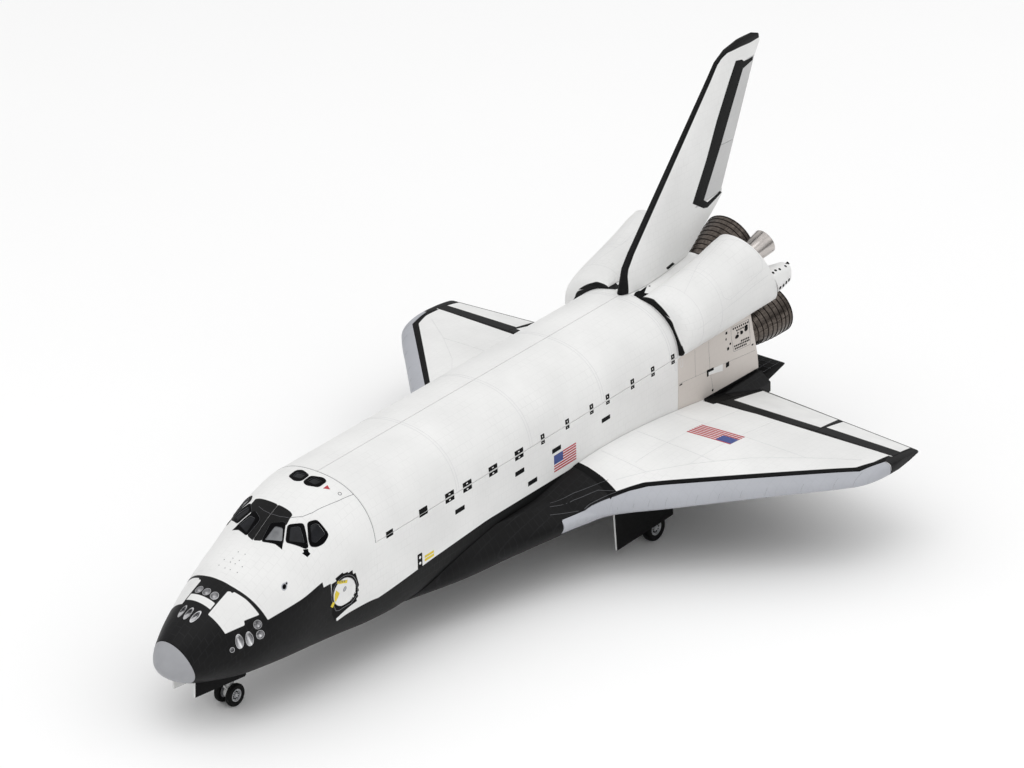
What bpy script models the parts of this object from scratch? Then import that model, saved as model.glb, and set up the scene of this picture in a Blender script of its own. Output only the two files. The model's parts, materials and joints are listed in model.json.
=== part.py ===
"""Display model of a winged space shuttle, built as separate pieces on one tilted airframe."""
import bpy
import bmesh
import math
from mathutils import Matrix, Vector

# Every length below is in inches of the full-size craft, and INCH draws them at 1:72 in metres.
# A place is (station, port, height): station grows from nose to tail, height grows upwards.
INCH = 0.0254 / 72
GAP = 0.9
SKIN = 5.0

# Fuselage split stations
NOSE_TIP = 238.0
CABIN_FRONT = 378.0
BAY_FRONT = 582.0
BAY_REAR = 1307.0
HULL_REAR = 1560.0

# Fuselage sections: station, half width, height of widest point, crown, keel, crown power, keel power
HULL = [
    (238.0, 0.1, 340.0, 340.1, 339.9, 2.0, 2.0),
    (242.0, 13.0, 340.0, 352.0, 329.0, 2.0, 2.0),
    (248.0, 21.0, 339.0, 361.0, 321.0, 2.0, 2.0),
    (258.0, 30.5, 337.0, 371.5, 312.0, 2.0, 2.0),
    (277.0, 43.0, 334.0, 384.5, 300.0, 2.0, 1.9),
    (310.0, 60.0, 335.0, 401.0, 288.0, 2.0, 1.8),
    (345.0, 74.0, 338.0, 415.5, 279.0, 2.05, 1.9),
    (380.0, 85.0, 346.0, 428.5, 274.0, 2.1, 2.0),
    (434.0, 96.0, 360.0, 449.0, 271.5, 2.2, 2.3),
    (483.0, 99.5, 378.0, 477.0, 270.0, 2.25, 2.8),
    (530.0, 102.5, 394.0, 495.0, 269.5, 2.3, 3.5),
    (582.0, 106.0, 408.0, 500.5, 269.0, 2.35, 4.6),
    (640.0, 106.0, 408.0, 500.5, 269.0, 2.35, 5.5),
    (1600.0, 106.0, 408.0, 500.5, 269.0, 2.35, 5.5),
]
RING_POINTS = 40
SPLIT_HEIGHT = 335.0

# Nose cap joint, a plane through these two places on the centre plane
CAP_TOP = (259.0, 372.0)
CAP_BOTTOM = (276.0, 300.0)

# Payload bay
BAY_RADIUS = 92.0
BAY_HEIGHT = 400.0
BAY_END_WALL = 8.0
SILL_HEIGHT = 418.0
DOOR_HINGE_OUT = 106.7

# Crew hatch on the port side
HATCH_STATION = 514.5
HATCH_HEIGHT = 367.3
HATCH_RADIUS = 21.3
HATCH_FLAT = 346.5
HATCH_THICK = 4.0

# Window openings on the port side, corner by corner: (station, port, height)
WINDOWS = [
    [(468.8, 18.0, 468.3), (472.2, 31.0, 467.8), (456.8, 42.1, 455.2), (445.7, 16.5, 454.4)],
    [(477.3, 38.5, 468.8), (487.3, 49.1, 469.5), (475.7, 67.2, 452.0), (461.6, 49.1, 455.3)],
    [(497.0, 58.0, 468.5), (507.0, 62.0, 469.5), (508.0, 78.0, 456.5), (487.0, 76.0, 449.5),
     (483.5, 72.0, 452.5)],
]
ROOF_WINDOW = [(552.5, 5.0, 498.2), (567.0, 6.5, 499.8), (566.5, 25.5, 498.4), (552.0, 22.0, 497.0)]
REAR_WINDOW_OUT = 22.0
REAR_WINDOW_HALF = 6.0
REAR_WINDOW_HEIGHT = 468.0

# Wing sections: port, leading edge station and height, trailing edge station and height,
# crown rise, keel drop and glove rise
WING = [
    (80.0, 640.0, 285.0, 1509.0, 286.0, 58.0, 16.0, 42.0),
    (106.0, 730.0, 286.0, 1504.6, 286.6, 56.0, 17.0, 40.0),
    (120.0, 800.0, 288.0, 1502.2, 287.3, 54.0, 17.5, 34.0),
    (140.0, 890.0, 290.0, 1498.6, 288.4, 51.0, 17.5, 26.0),
    (158.0, 960.0, 292.0, 1495.4, 289.4, 48.0, 17.0, 19.0),
    (175.0, 1006.0, 293.5, 1492.4, 290.3, 45.0, 16.5, 14.0),
    (200.0, 1037.0, 295.0, 1488.0, 291.7, 42.0, 16.0, 5.0),
    (240.0, 1074.0, 296.5, 1480.9, 293.9, 37.5, 14.0, 0.0),
    (300.0, 1134.0, 299.0, 1470.2, 297.1, 31.0, 11.5, 0.0),
    (380.0, 1214.0, 302.5, 1456.0, 301.5, 22.5, 8.0, 0.0),
    (441.0, 1276.0, 305.0, 1445.2, 304.8, 16.0, 7.5, 0.0),
    (457.0, 1297.0, 305.5, 1442.5, 305.6, 13.5, 8.0, 0.0),
    (466.5, 1325.0, 305.8, 1440.5, 306.1, 10.0, 8.0, 0.0),
    (470.0, 1366.0, 306.0, 1437.0, 306.3, 6.0, 6.5, 0.0),
]
CHORD_STEPS = 13
EDGE_THICK = 1.2
WING_ROOT_LINE = 834.0
GLOVE_FADE_FRONT = 1000.0
GLOVE_FADE_REAR = 1387.0
# Ends and back line of the grey leading edge, and the elevon outlines: (station, port)
EDGE_FRONT = 950.0
EDGE_REAR = 1362.0
EDGE_BACK = [(952.0, 149.5), (1004.0, 162.0), (1042.0, 187.0), (1080.0, 215.0), (1310.0, 446.0),
             (1345.0, 455.0), (1360.0, 458.5)]
HINGE_STATION = 1387.0
ELEVON_INNER = 129.0
ELEVON_SPLIT = 308.5
ELEVON_OUTER = 456.0
# Fixed stub beside the body flap: (port, height)
STUB = [(95.0, 270.0), (127.0, 272.0), (127.0, 289.0), (108.0, 304.0), (95.0, 304.0)]
STUB_FRONT = 1375.0
STUB_REAR = 1530.0

# Fin sections: height, leading edge station, trailing edge station, greatest half thickness
FIN = [
    (501.6, 1296.0, 1477.0, 14.0),
    (515.0, 1300.0, 1495.0, 13.7),
    (540.0, 1307.0, 1528.0, 13.0),
    (560.0, 1322.5, 1554.5, 12.5),
    (576.0, 1337.7, 1573.0, 12.0),
    (586.0, 1347.0, 1571.5, 11.8),
    (700.0, 1455.0, 1624.0, 8.8),
    (782.0, 1532.5, 1661.5, 6.5),
    (806.0, 1554.0, 1677.0, 5.6),
    (819.0, 1578.0, 1674.0, 4.2),
    (825.7, 1612.0, 1655.0, 1.6),
]
FIN_STEPS = 11
# Rudder outline on the centre plane, and the heights at which its two panels part, front and rear
RUDDER = [(1490.0, 582.0), (1615.5, 785.0), (1700.0, 785.0), (1700.0, 582.0)]
RUDDER_SPLIT = (666.0, 648.0)

# Aft end: the base plane leans forward as it rises
BASE_LOW = (1533.0, 296.0)
BASE_TILT = math.radians(13.8)

# Orbital engine pods: station and how far the pod has grown, outwards and upwards, to its full section
POD = [(1309.0, 0.34, 0.06), (1312.0, 0.58, 0.16), (1321.0, 0.74, 0.26), (1350.0, 0.85, 0.4),
       (1400.0, 0.92, 0.58), (1440.0, 0.96, 0.74), (1480.0, 0.99, 0.92), (1520.0, 1.0, 1.0),
       (1575.0, 0.92, 0.92)]
POD_CENTRE = (84.0, 484.0)
POD_HALF = (50.0, 76.0)
POD_POWER = 2.1
POD_START = math.radians(167.0)
POD_END = math.radians(-52.0)
POD_STEPS = 16
POD_REAR_TOP = (1481.0, 562.0)
POD_REAR_LOW = (1563.0, 418.0)
STINGER = [(1520.0, 0.98), (1556.0, 0.94), (1584.0, 0.74)]
STINGER_CENTRE = (116.0, 462.0)
STINGER_HALF = (18.0, 22.0)

# Body flap: station and height along its upper and lower faces
FLAP = [(1536.5, 290.0), (1599.0, 289.5), (1604.0, 286.5), (1603.0, 284.0), (1541.0, 270.5)]
FLAP_HALF = 104.0

# Main engines: name, gimbal place, pitch up and yaw out in degrees
MAIN_ENGINES = [("upper", (1445.0, 0.0, 443.0), 16.0, 0.0),
                ("port", (1468.0, 53.0, 342.6), 10.0, 3.5),
                ("starboard", (1468.0, -53.0, 342.6), 10.0, -3.5)]
# Bell outline: distance aft of the gimbal, outer radius
MAIN_BELL = [(68.0, 27.5), (80.0, 31.5), (95.0, 35.8), (112.0, 39.6), (130.0, 42.8), (157.0, 46.0)]
MAIN_SHIELD_RADII = [(66.8, 35.0), (64.0, 39.0), (56.0, 44.0), (30.0, 47.0)]
BELL_WALL = 2.6

ORBITAL_ENGINES = [("port", (1486.0, 85.5, 498.0), 15.8, 6.5),
                   ("starboard", (1486.0, -85.5, 498.0), 15.8, -6.5)]
ORBITAL_BELL = [(-30.0, 9.0), (10.0, 9.5), (22.0, 12.0), (38.0, 16.3), (56.0, 19.4), (77.0, 21.5)]
ORBITAL_WALL = 2.2

# Landing gear: axle station and height, tyre radius, width and offset from the leg
NOSE_AXLE = (371.0, 235.3)
NOSE_TYRE = (17.3, 9.0)
NOSE_SPACING = 11.0
MAIN_AXLE = (1178.0, 187.5)
MAIN_TYRE = (22.3, 15.5)
MAIN_SPACING = 14.2
MAIN_LEG = 137.0
AXLE_RADIUS = 3.4
LEG_RADIUS = 4.6
TYRE_STEPS = 24
HUB_STEPS = 16
BELL_STEPS = 28
SMALL_BELL_STEPS = 20
NOSE_WELL = (283.0, 387.0, 23.2, 316.0)
MAIN_WELL = (1058.0, 1211.0, 111.0, 166.0, 300.0)
DOOR_THICK = 3.0
# Gear door outlines on their own plane: (station, height)
NOSE_DOOR = [(284.0, 304.0), (385.5, 304.0), (385.5, 265.5), (382.0, 264.0), (281.5, 279.0)]
MAIN_DOOR = [(1060.0, 286.0), (1209.5, 286.0), (1211.5, 199.0), (1066.0, 200.5)]

MAIN_COLLECTION = "space_shuttle_model"


def clear_scene():
    for obj in list(bpy.data.objects):
        bpy.data.objects.remove(obj, do_unlink=True)


def place(station, port, height):
    """Full-size place in inches to a model place in metres on the level airframe."""
    return Vector((port, station, height)) * INCH


# Paints
PAINTS = {
    "white_satin": ((0.84, 0.84, 0.85), 0.45, 0.0),
    "pale_grey": ((0.62, 0.63, 0.65), 0.5, 0.0),
    "tile_black": ((0.03, 0.03, 0.033), 0.6, 0.0),
    "stone_grey": ((0.66, 0.62, 0.6), 0.5, 0.0),
    "nozzle_metal": ((0.32, 0.31, 0.3), 0.35, 1.0),
    "bell_steel": ((0.55, 0.53, 0.51), 0.3, 1.0),
    "gear_silver": ((0.75, 0.76, 0.78), 0.35, 0.6),
    "tyre_rubber": ((0.02, 0.02, 0.022), 0.75, 0.0),
    "smoked_clear": ((0.05, 0.05, 0.055), 0.12, 0.0),
    "cabin_grey": ((0.35, 0.36, 0.38), 0.6, 0.0),
}


def paint(name):
    material = bpy.data.materials.get(name)
    if material:
        return material
    colour, roughness, metallic = PAINTS[name]
    material = bpy.data.materials.new(name)
    material.use_nodes = True
    shader = material.node_tree.nodes["Principled BSDF"]
    shader.inputs["Base Color"].default_value = (*colour, 1.0)
    shader.inputs["Roughness"].default_value = roughness
    shader.inputs["Metallic"].default_value = metallic
    return material


def collection(name):
    group = bpy.data.collections.get(name)
    if group is None:
        group = bpy.data.collections.new(name)
        bpy.context.scene.collection.children.link(group)
    return group


def make_airframe():
    airframe = bpy.data.objects.new("airframe", None)
    collection(MAIN_COLLECTION).objects.link(airframe)
    return airframe


def finish_mesh(bm, name):
    bmesh.ops.recalc_face_normals(bm, faces=bm.faces)
    mesh = bpy.data.meshes.new(name)
    bm.to_mesh(mesh)
    bm.free()
    return mesh


def add_part(name, mesh, colour, airframe, pivot=(0.0, 0.0, 0.0)):
    """A visible piece: its mesh is moved so that the object's origin lies on its pivot."""
    origin = place(*pivot)
    mesh.transform(Matrix.Translation(-origin))
    mesh.shade_smooth()
    mesh.set_sharp_from_angle(angle=math.radians(30))
    obj = bpy.data.objects.new(name, mesh)
    obj.location = origin
    obj.parent = airframe
    mesh.materials.append(paint(colour))
    collection(MAIN_COLLECTION).objects.link(obj)
    return obj


def add_cutter(name, mesh, airframe):
    obj = bpy.data.objects.new(name, mesh)
    obj.parent = airframe
    obj.hide_render = True
    obj.display_type = "WIRE"
    collection("cutters").objects.link(obj)
    return obj


def carve(part, cutter, operation="DIFFERENCE"):
    modifier = part.modifiers.new(cutter.name, "BOOLEAN")
    modifier.solver = "EXACT"
    modifier.operation = operation
    modifier.object = cutter


def smooth_value(rows, column, position):
    """Monotone cubic through one column of a table, so that a row's value is never overshot."""
    count = len(rows)
    index = 0
    while index < count - 2 and rows[index + 1][0] < position:
        index += 1
    slopes = []
    for row in range(count - 1):
        slopes.append((rows[row + 1][column] - rows[row][column]) / (rows[row + 1][0] - rows[row][0]))

    def tangent(row):
        if row == 0:
            return slopes[0]
        if row == count - 1:
            return slopes[-1]
        before, after = slopes[row - 1], slopes[row]
        if before * after <= 0:
            return 0.0
        return 2 * before * after / (before + after)

    span = rows[index + 1][0] - rows[index][0]
    t = min(max((position - rows[index][0]) / span, 0.0), 1.0)
    low, high = rows[index][column], rows[index + 1][column]
    return ((2 * t ** 3 - 3 * t ** 2 + 1) * low + (t ** 3 - 2 * t ** 2 + t) * span * tangent(index)
            + (3 * t ** 2 - 2 * t ** 3) * high + (t ** 3 - t ** 2) * span * tangent(index + 1))


def root_rows(rows):
    """The hull table against the square root of the distance from the nose, which rounds the nose."""
    return [(math.sqrt(row[0] - NOSE_TIP), *row[1:]) for row in rows]


HULL_ROOTS = root_rows(HULL)


def hull_point(station, angle, inset=0.0):
    position = math.sqrt(max(station - NOSE_TIP, 0.0))
    half, middle, crown, keel, crown_power, keel_power = [
        smooth_value(HULL_ROOTS, column, position) for column in range(1, 7)]
    across, up = math.cos(angle), math.sin(angle)
    power = crown_power if up >= 0 else keel_power
    reach = (crown - inset - middle) if up >= 0 else (middle - keel - inset)
    port = max(half - inset, 0.01) * math.copysign(abs(across) ** (2 / power), across)
    height = middle + reach * math.copysign(abs(up) ** (2 / power), up)
    return port, height


def hull_ring(station, inset=0.0):
    ring = []
    for step in range(RING_POINTS):
        port, height = hull_point(station, 2 * math.pi * step / RING_POINTS, inset)
        ring.append(place(station, port, height))
    return ring


def loft(name, rings):
    """A closed skin through rings of equal point counts, with flat ends."""
    bm = bmesh.new()
    levels = [[bm.verts.new(point) for point in ring] for ring in rings]
    count = len(rings[0])
    for front, back in zip(levels, levels[1:]):
        for step in range(count):
            following = (step + 1) % count
            bm.faces.new((front[step], front[following], back[following], back[step]))
    bm.faces.new(levels[0])
    bm.faces.new(levels[-1])
    return finish_mesh(bm, name)


def hull_mesh(name, front, rear, inset=0.0):
    stations = [front] + [row[0] for row in HULL if front + 1 < row[0] < rear - 1] + [rear]
    refined = []
    for here, after in zip(stations, stations[1:]):
        refined.append(here)
        if here < BAY_FRONT and after - here > 20:
            refined.append((here + after) / 2)
    refined.append(rear)
    return loft(name, [hull_ring(station, inset) for station in refined])


def prism(name, outline, plane, low, high):
    """An outline raised straight: plane "side" holds (station, height), "plan" (station, port) and
    "front" (port, height)."""
    bm = bmesh.new()
    spots = {"side": lambda a, b, c: place(a, c, b),
             "plan": lambda a, b, c: place(a, b, c),
             "front": lambda a, b, c: place(c, a, b)}
    spot = spots[plane]
    base = bm.faces.new([bm.verts.new(spot(a, b, low)) for a, b in outline])
    lifted = bmesh.ops.extrude_face_region(bm, geom=[base])
    moved = [item for item in lifted["geom"] if isinstance(item, bmesh.types.BMVert)]
    bmesh.ops.translate(bm, verts=moved, vec=spot(0, 0, high) - spot(0, 0, low))
    return finish_mesh(bm, name)


def block(name, low, high):
    """A box between two places."""
    bm = bmesh.new()
    bmesh.ops.create_cube(bm, size=1.0)
    corner_low, corner_high = place(*low), place(*high)
    size = corner_high - corner_low
    bmesh.ops.scale(bm, verts=bm.verts, vec=(abs(size.x), abs(size.y), abs(size.z)))
    bmesh.ops.translate(bm, verts=bm.verts, vec=(corner_low + corner_high) / 2)
    return finish_mesh(bm, name)


def rod(name, start, end, radius, sides=24):
    """A round bar between two places."""
    bm = bmesh.new()
    first, last = place(*start), place(*end)
    along = last - first
    turn = along.to_track_quat("Z", "Y").to_matrix().to_4x4()
    bmesh.ops.create_cone(bm, cap_ends=True, segments=sides, radius1=radius * INCH,
                          radius2=radius * INCH, depth=along.length,
                          matrix=Matrix.Translation((first + last) / 2) @ turn)
    return finish_mesh(bm, name)


def turned(name, profile, colour, airframe, centre, direction, steps):
    """A profile of (radius, distance along the axis) turned about an axis through centre."""
    bm = bmesh.new()
    points = [bm.verts.new(Vector((radius, 0.0, along)) * INCH) for radius, along in profile]
    for first, second in zip(points, points[1:]):
        bm.edges.new((first, second))
    if profile[0][0] > 0:
        bm.edges.new((points[-1], points[0]))
    mesh = bpy.data.meshes.new(name)
    bm.to_mesh(mesh)
    bm.free()
    obj = bpy.data.objects.new(name, mesh)
    obj.location = place(*centre)
    obj.rotation_euler = direction.to_track_quat("Z", "Y").to_euler()
    obj.parent = airframe
    mesh.materials.append(paint(colour))
    screw = obj.modifiers.new("turn", "SCREW")
    screw.steps = steps
    screw.render_steps = steps
    screw.use_merge_vertices = True
    screw.merge_threshold = 0.00001
    screw.use_smooth_shade = True
    collection(MAIN_COLLECTION).objects.link(obj)
    return obj


def fuse(name, meshes, colour, airframe, pivot=(0.0, 0.0, 0.0)):
    """One solid from overlapping meshes."""
    body = add_part(name, meshes[0], colour, airframe, pivot)
    for number, mesh in enumerate(meshes[1:], start=1):
        carve(body, add_cutter(f"{name}_add_{number}", mesh, airframe), "UNION")
    return body


def mirrored(outline, side):
    return [(along, port * side) for along, port in outline]


def build_nose(airframe):
    cap = add_part("nose_cap", hull_mesh("nose_cap", NOSE_TIP + 0.15, 300.0), "pale_grey", airframe)
    lean = (CAP_BOTTOM[0] - CAP_TOP[0]) / (CAP_TOP[1] - CAP_BOTTOM[1])
    top, bottom = CAP_TOP[1] + 60, CAP_BOTTOM[1] - 60
    front_line = [(CAP_TOP[0] - 60 * lean, top), (CAP_BOTTOM[0] + 60 * lean, bottom)]
    behind = prism("behind_cap", [*front_line, (400.0, bottom), (400.0, top)], "side", -80, 80)
    carve(cap, add_cutter("behind_cap", behind, airframe))
    shifted = [(station + GAP, height) for station, height in front_line]
    ahead = prism("cap_room", [*shifted, (200.0, bottom), (200.0, top)], "side", -80, 80)
    cap_room = add_cutter("cap_room", ahead, airframe)

    module = add_part("forward_thruster_module", hull_mesh("module", 240.0, CABIN_FRONT - GAP / 2),
                      "tile_black", airframe)
    carve(module, cap_room)
    below = block("below_module", (200, -120, 200), (600, 120, SPLIT_HEIGHT + GAP / 2))
    carve(module, add_cutter("below_module", below, airframe))

    lower = add_part("forward_fuselage_lower", hull_mesh("lower", 240.0, BAY_FRONT - GAP / 2),
                     "tile_black", airframe)
    carve(lower, cap_room)
    above = block("above_lower", (200, -120, SPLIT_HEIGHT - GAP / 2), (600, 120, 520))
    carve(lower, add_cutter("above_lower", above, airframe))
    front, rear, half, top = NOSE_WELL
    well = block("nose_well", (front, -half, 200), (rear, half, top))
    carve(lower, add_cutter("nose_well", well, airframe))


def pane_cutter(name, corners, side, airframe):
    """A straight punch through the skin, square to the pane that the corners lie on."""
    points = [place(station, port * side, height) for station, port, height in corners]
    normal = (points[2] - points[0]).cross(points[1] - points[3]).normalized()
    reach = normal * 14 * INCH
    ring_in = [point - reach for point in points]
    ring_out = [point + reach for point in points]
    mesh = loft(name, [ring_in, ring_out])
    return add_cutter(name, mesh, airframe)


def build_cabin(airframe):
    shell = add_part("forward_fuselage_upper",
                     hull_mesh("cabin", CABIN_FRONT + GAP / 2, BAY_FRONT - GAP / 2), "white_satin", airframe)
    below = block("below_cabin", (300, -120, 200), (600, 120, SPLIT_HEIGHT + GAP / 2))
    carve(shell, add_cutter("below_cabin", below, airframe))
    hollow = hull_mesh("cabin_hollow", CABIN_FRONT + 20, BAY_FRONT + 10, SKIN)
    carve(shell, add_cutter("cabin_hollow", hollow, airframe))
    for side in (1, -1):
        for number, corners in enumerate(WINDOWS):
            carve(shell, pane_cutter(f"window_{number}_{side}", corners, side, airframe))
        carve(shell, pane_cutter(f"roof_window_{side}", ROOF_WINDOW, side, airframe))
    hole = prism("hatch_hole", hatch_outline(GAP), "side", 70, 130)
    carve(shell, add_cutter("hatch_hole", hole, airframe))

    glazing_band("windshield_glazing", (432, -95, 441), (517, 95, 520), airframe)
    glazing_band("overhead_glazing", (545, -34, 470), (572, 34, 520), airframe)
    build_bulkhead(airframe)
    build_flight_deck(airframe)
    build_hatch(airframe)


def glazing_band(name, low, high, airframe):
    """A curved clear moulding that lines the skin behind the window openings."""
    outer = hull_mesh(name, 400.0, BAY_FRONT - 6, SKIN + GAP)
    band = add_part(name, outer, "smoked_clear", airframe)
    inner = hull_mesh(f"{name}_inside", 390.0, BAY_FRONT + 6, SKIN + GAP + 3)
    carve(band, add_cutter(f"{name}_inside", inner, airframe))
    carve(band, add_cutter(f"{name}_reach", block(f"{name}_reach", low, high), airframe), "INTERSECT")


def build_bulkhead(airframe):
    wall = add_part("cabin_rear_bulkhead", hull_mesh("bulkhead", BAY_FRONT - 7, BAY_FRONT - 2, SKIN + GAP),
                    "cabin_grey", airframe)
    below = block("below_bulkhead", (500, -120, 200), (700, 120, SPLIT_HEIGHT + GAP / 2))
    carve(wall, add_cutter("below_bulkhead", below, airframe))
    for side in (1, -1):
        low = (BAY_FRONT - 30, side * REAR_WINDOW_OUT - REAR_WINDOW_HALF, REAR_WINDOW_HEIGHT - REAR_WINDOW_HALF)
        high = (BAY_FRONT + 30, side * REAR_WINDOW_OUT + REAR_WINDOW_HALF, REAR_WINDOW_HEIGHT + REAR_WINDOW_HALF)
        carve(wall, add_cutter(f"bay_window_{side}", block(f"bay_window_{side}", low, high), airframe))


def build_flight_deck(airframe):
    floor_height = SPLIT_HEIGHT + GAP / 2 + GAP
    boxes = [block("deck_floor", (440, -72, 404), (570, 72, 409))]
    for side in (1, -1):
        boxes.append(block("deck_wall", (450, side * 66 - 3, floor_height - GAP), (568, side * 66 + 3, 406)))
    boxes.append(block("console", (448, -44, 406), (462, 44, 437)))
    for side in (1, -1):
        boxes.append(block("seat", (480, side * 26 - 10, 407), (502, side * 26 + 10, 420)))
        boxes.append(block("seat_back", (499, side * 26 - 10, 410), (505, side * 26 + 10, 452)))
    fuse("flight_deck", boxes, "cabin_grey", airframe)


def hatch_outline(growth):
    """A round hatch with a flat foot, where its hinge lies."""
    radius = HATCH_RADIUS + growth
    foot = HATCH_HEIGHT - HATCH_FLAT + growth
    start = -math.asin(foot / radius)
    sweep = math.pi - 2 * start
    return [(HATCH_STATION + radius * math.cos(start + sweep * step / 28),
             HATCH_HEIGHT + radius * math.sin(start + sweep * step / 28)) for step in range(29)]


def build_hatch(airframe):
    front_out = hull_point(HATCH_STATION - 15, -0.05)[0]
    rear_out = hull_point(HATCH_STATION + 15, -0.05)[0]
    pivot = (HATCH_STATION, (front_out + rear_out) / 2 + 0.7, HATCH_FLAT - 0.5)
    hatch = add_part("crew_hatch", hull_mesh("hatch", 480.0, 550.0), "white_satin", airframe, pivot)
    inner = hull_mesh("hatch_inside", 470.0, 560.0, HATCH_THICK)
    carve(hatch, add_cutter("hatch_inside", inner, airframe))
    punch = prism("hatch_shape", hatch_outline(0.0), "side", 70, 130)
    carve(hatch, add_cutter("hatch_shape", punch, airframe), "INTERSECT")


def build_mid(airframe):
    mid = add_part("mid_fuselage", hull_mesh("mid", BAY_FRONT + GAP / 2, BAY_REAR - GAP / 2),
                   "white_satin", airframe)
    above = block("above_sill", (500, -130, SILL_HEIGHT - GAP / 2), (1400, 130, 520))
    carve(mid, add_cutter("above_sill", above, airframe))
    front, rear = BAY_FRONT + BAY_END_WALL, BAY_REAR - BAY_END_WALL
    bay = rod("bay", (front, 0, BAY_HEIGHT), (rear, 0, BAY_HEIGHT), BAY_RADIUS, 48)
    carve(mid, add_cutter("bay", bay, airframe))

    for name, side in (("port", 1), ("starboard", -1)):
        rings = []
        for station in (BAY_FRONT + GAP / 2, BAY_REAR - GAP / 2):
            rings.append(door_ring(station, side))
        pivot = (BAY_FRONT, side * DOOR_HINGE_OUT, SILL_HEIGHT)
        add_part(f"bay_door_{name}", loft("bay_door", rings), "white_satin", airframe, pivot)


def door_ring(station, side):
    """A quarter of the skin between sill and centre line, as thick as the door."""
    outer, inner = [], []
    for inset, curve in ((0.0, outer), (SKIN, inner)):
        first = crown_angle(station, inset, height=SILL_HEIGHT + GAP / 2)
        last = crown_angle(station, inset, port=GAP / 2)
        for step in range(17):
            port, height = hull_point(station, first + (last - first) * step / 16, inset)
            curve.append(place(station, port * side, height))
    return outer + inner[::-1]


def crown_angle(station, inset, height=None, port=None):
    """The angle at which the crown curve reaches a height or a port distance."""
    low, high = 0.0, math.pi / 2
    for _ in range(40):
        middle = (low + high) / 2
        here_port, here_height = hull_point(station, middle, inset)
        short = here_height < height if height is not None else here_port > port
        low, high = (middle, high) if short else (low, middle)
    return low


def base_outline(shift):
    """Everything aft of the leaning base plane, on the centre plane."""
    station, height = BASE_LOW
    lean = math.tan(BASE_TILT)
    low, high = height - 80, height + 300
    return [(station + shift + 80 * lean, low), (station + shift - 300 * lean, high), (1800, high), (1800, low)]


def build_aft(airframe):
    aft = add_part("aft_fuselage", hull_mesh("aft", BAY_REAR + GAP / 2, HULL_REAR), "stone_grey", airframe)
    behind = prism("behind_base", base_outline(0.0), "side", -130, 130)
    carve(aft, add_cutter("behind_base", behind, airframe))
    flap = prism("body_flap", FLAP, "side", -FLAP_HALF, FLAP_HALF)
    add_part("body_flap", flap, "tile_black", airframe)


def foil(fraction):
    """Thickness of a wing section along its chord, one at its fattest."""
    s = min(max(fraction, 0.0), 1.0)
    return 10 * (0.2969 * math.sqrt(s) - 0.126 * s - 0.3516 * s ** 2 + 0.2843 * s ** 3 - 0.1036 * s ** 4)


def fade(position, front, rear):
    t = min(max((position - front) / (rear - front), 0.0), 1.0)
    return 1 - t * t * (3 - 2 * t)


def wing_heights(port, station):
    """Upper and lower height of the wing skin above a place in plan."""
    lead, lead_height, trail, trail_height, crown, keel, glove = [
        smooth_value(WING, column, port) for column in range(1, 8)]
    along = (station - lead) / (trail - lead)
    chord_height = lead_height + (trail_height - lead_height) * along
    main_lead = max(WING_ROOT_LINE + port, lead)
    main = (station - main_lead) / (trail - main_lead)
    crown_rise = crown * foil(main) if main > 0 else 0.0
    nose = min(1.0, math.sqrt(max(station - lead, 0.0) / 120.0))
    glove_rise = glove * nose * fade(station, GLOVE_FADE_FRONT, GLOVE_FADE_REAR)
    top = (crown_rise ** 4 + glove_rise ** 4) ** 0.25
    drop = keel * min(1.0, math.sqrt(max(station - lead, 0.0) / 45.0))
    drop *= min(1.0, max(trail - station, 0.0) / (trail - HINGE_STATION) + 0.02) ** 0.9
    return chord_height + top + EDGE_THICK / 2, chord_height - drop - EDGE_THICK / 2


def wing_ring(port, side):
    lead, trail = smooth_value(WING, 1, port), smooth_value(WING, 3, port)
    upper, lower = [], []
    for step in range(CHORD_STEPS + 1):
        fraction = 1 - math.cos(math.pi / 2 * step / CHORD_STEPS)
        station = lead + (trail - lead) * fraction
        top, bottom = wing_heights(port, station)
        upper.append(place(station, port * side, top))
        lower.append(place(station, port * side, bottom))
    return upper + lower[::-1]


def wing_mesh(name, side):
    spots = [row[0] for row in WING]
    spots[2:2] = [112.0]
    return loft(name, [wing_ring(port, side) for port in spots])


def edge_outline(shift):
    back = [(station + shift, port - shift * 0.6) for station, port in EDGE_BACK]
    inner = (EDGE_FRONT - shift, back[0][1])
    return [(EDGE_FRONT - shift, 260.0), inner, *back, (EDGE_REAR + shift, 520.0), (1250.0, 520.0)]


def elevon_outline(inner, outer, growth):
    front = HINGE_STATION - growth
    return [(front, inner - growth), (front, outer + growth), (1600.0, outer + growth), (1600.0, inner - growth)]


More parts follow.
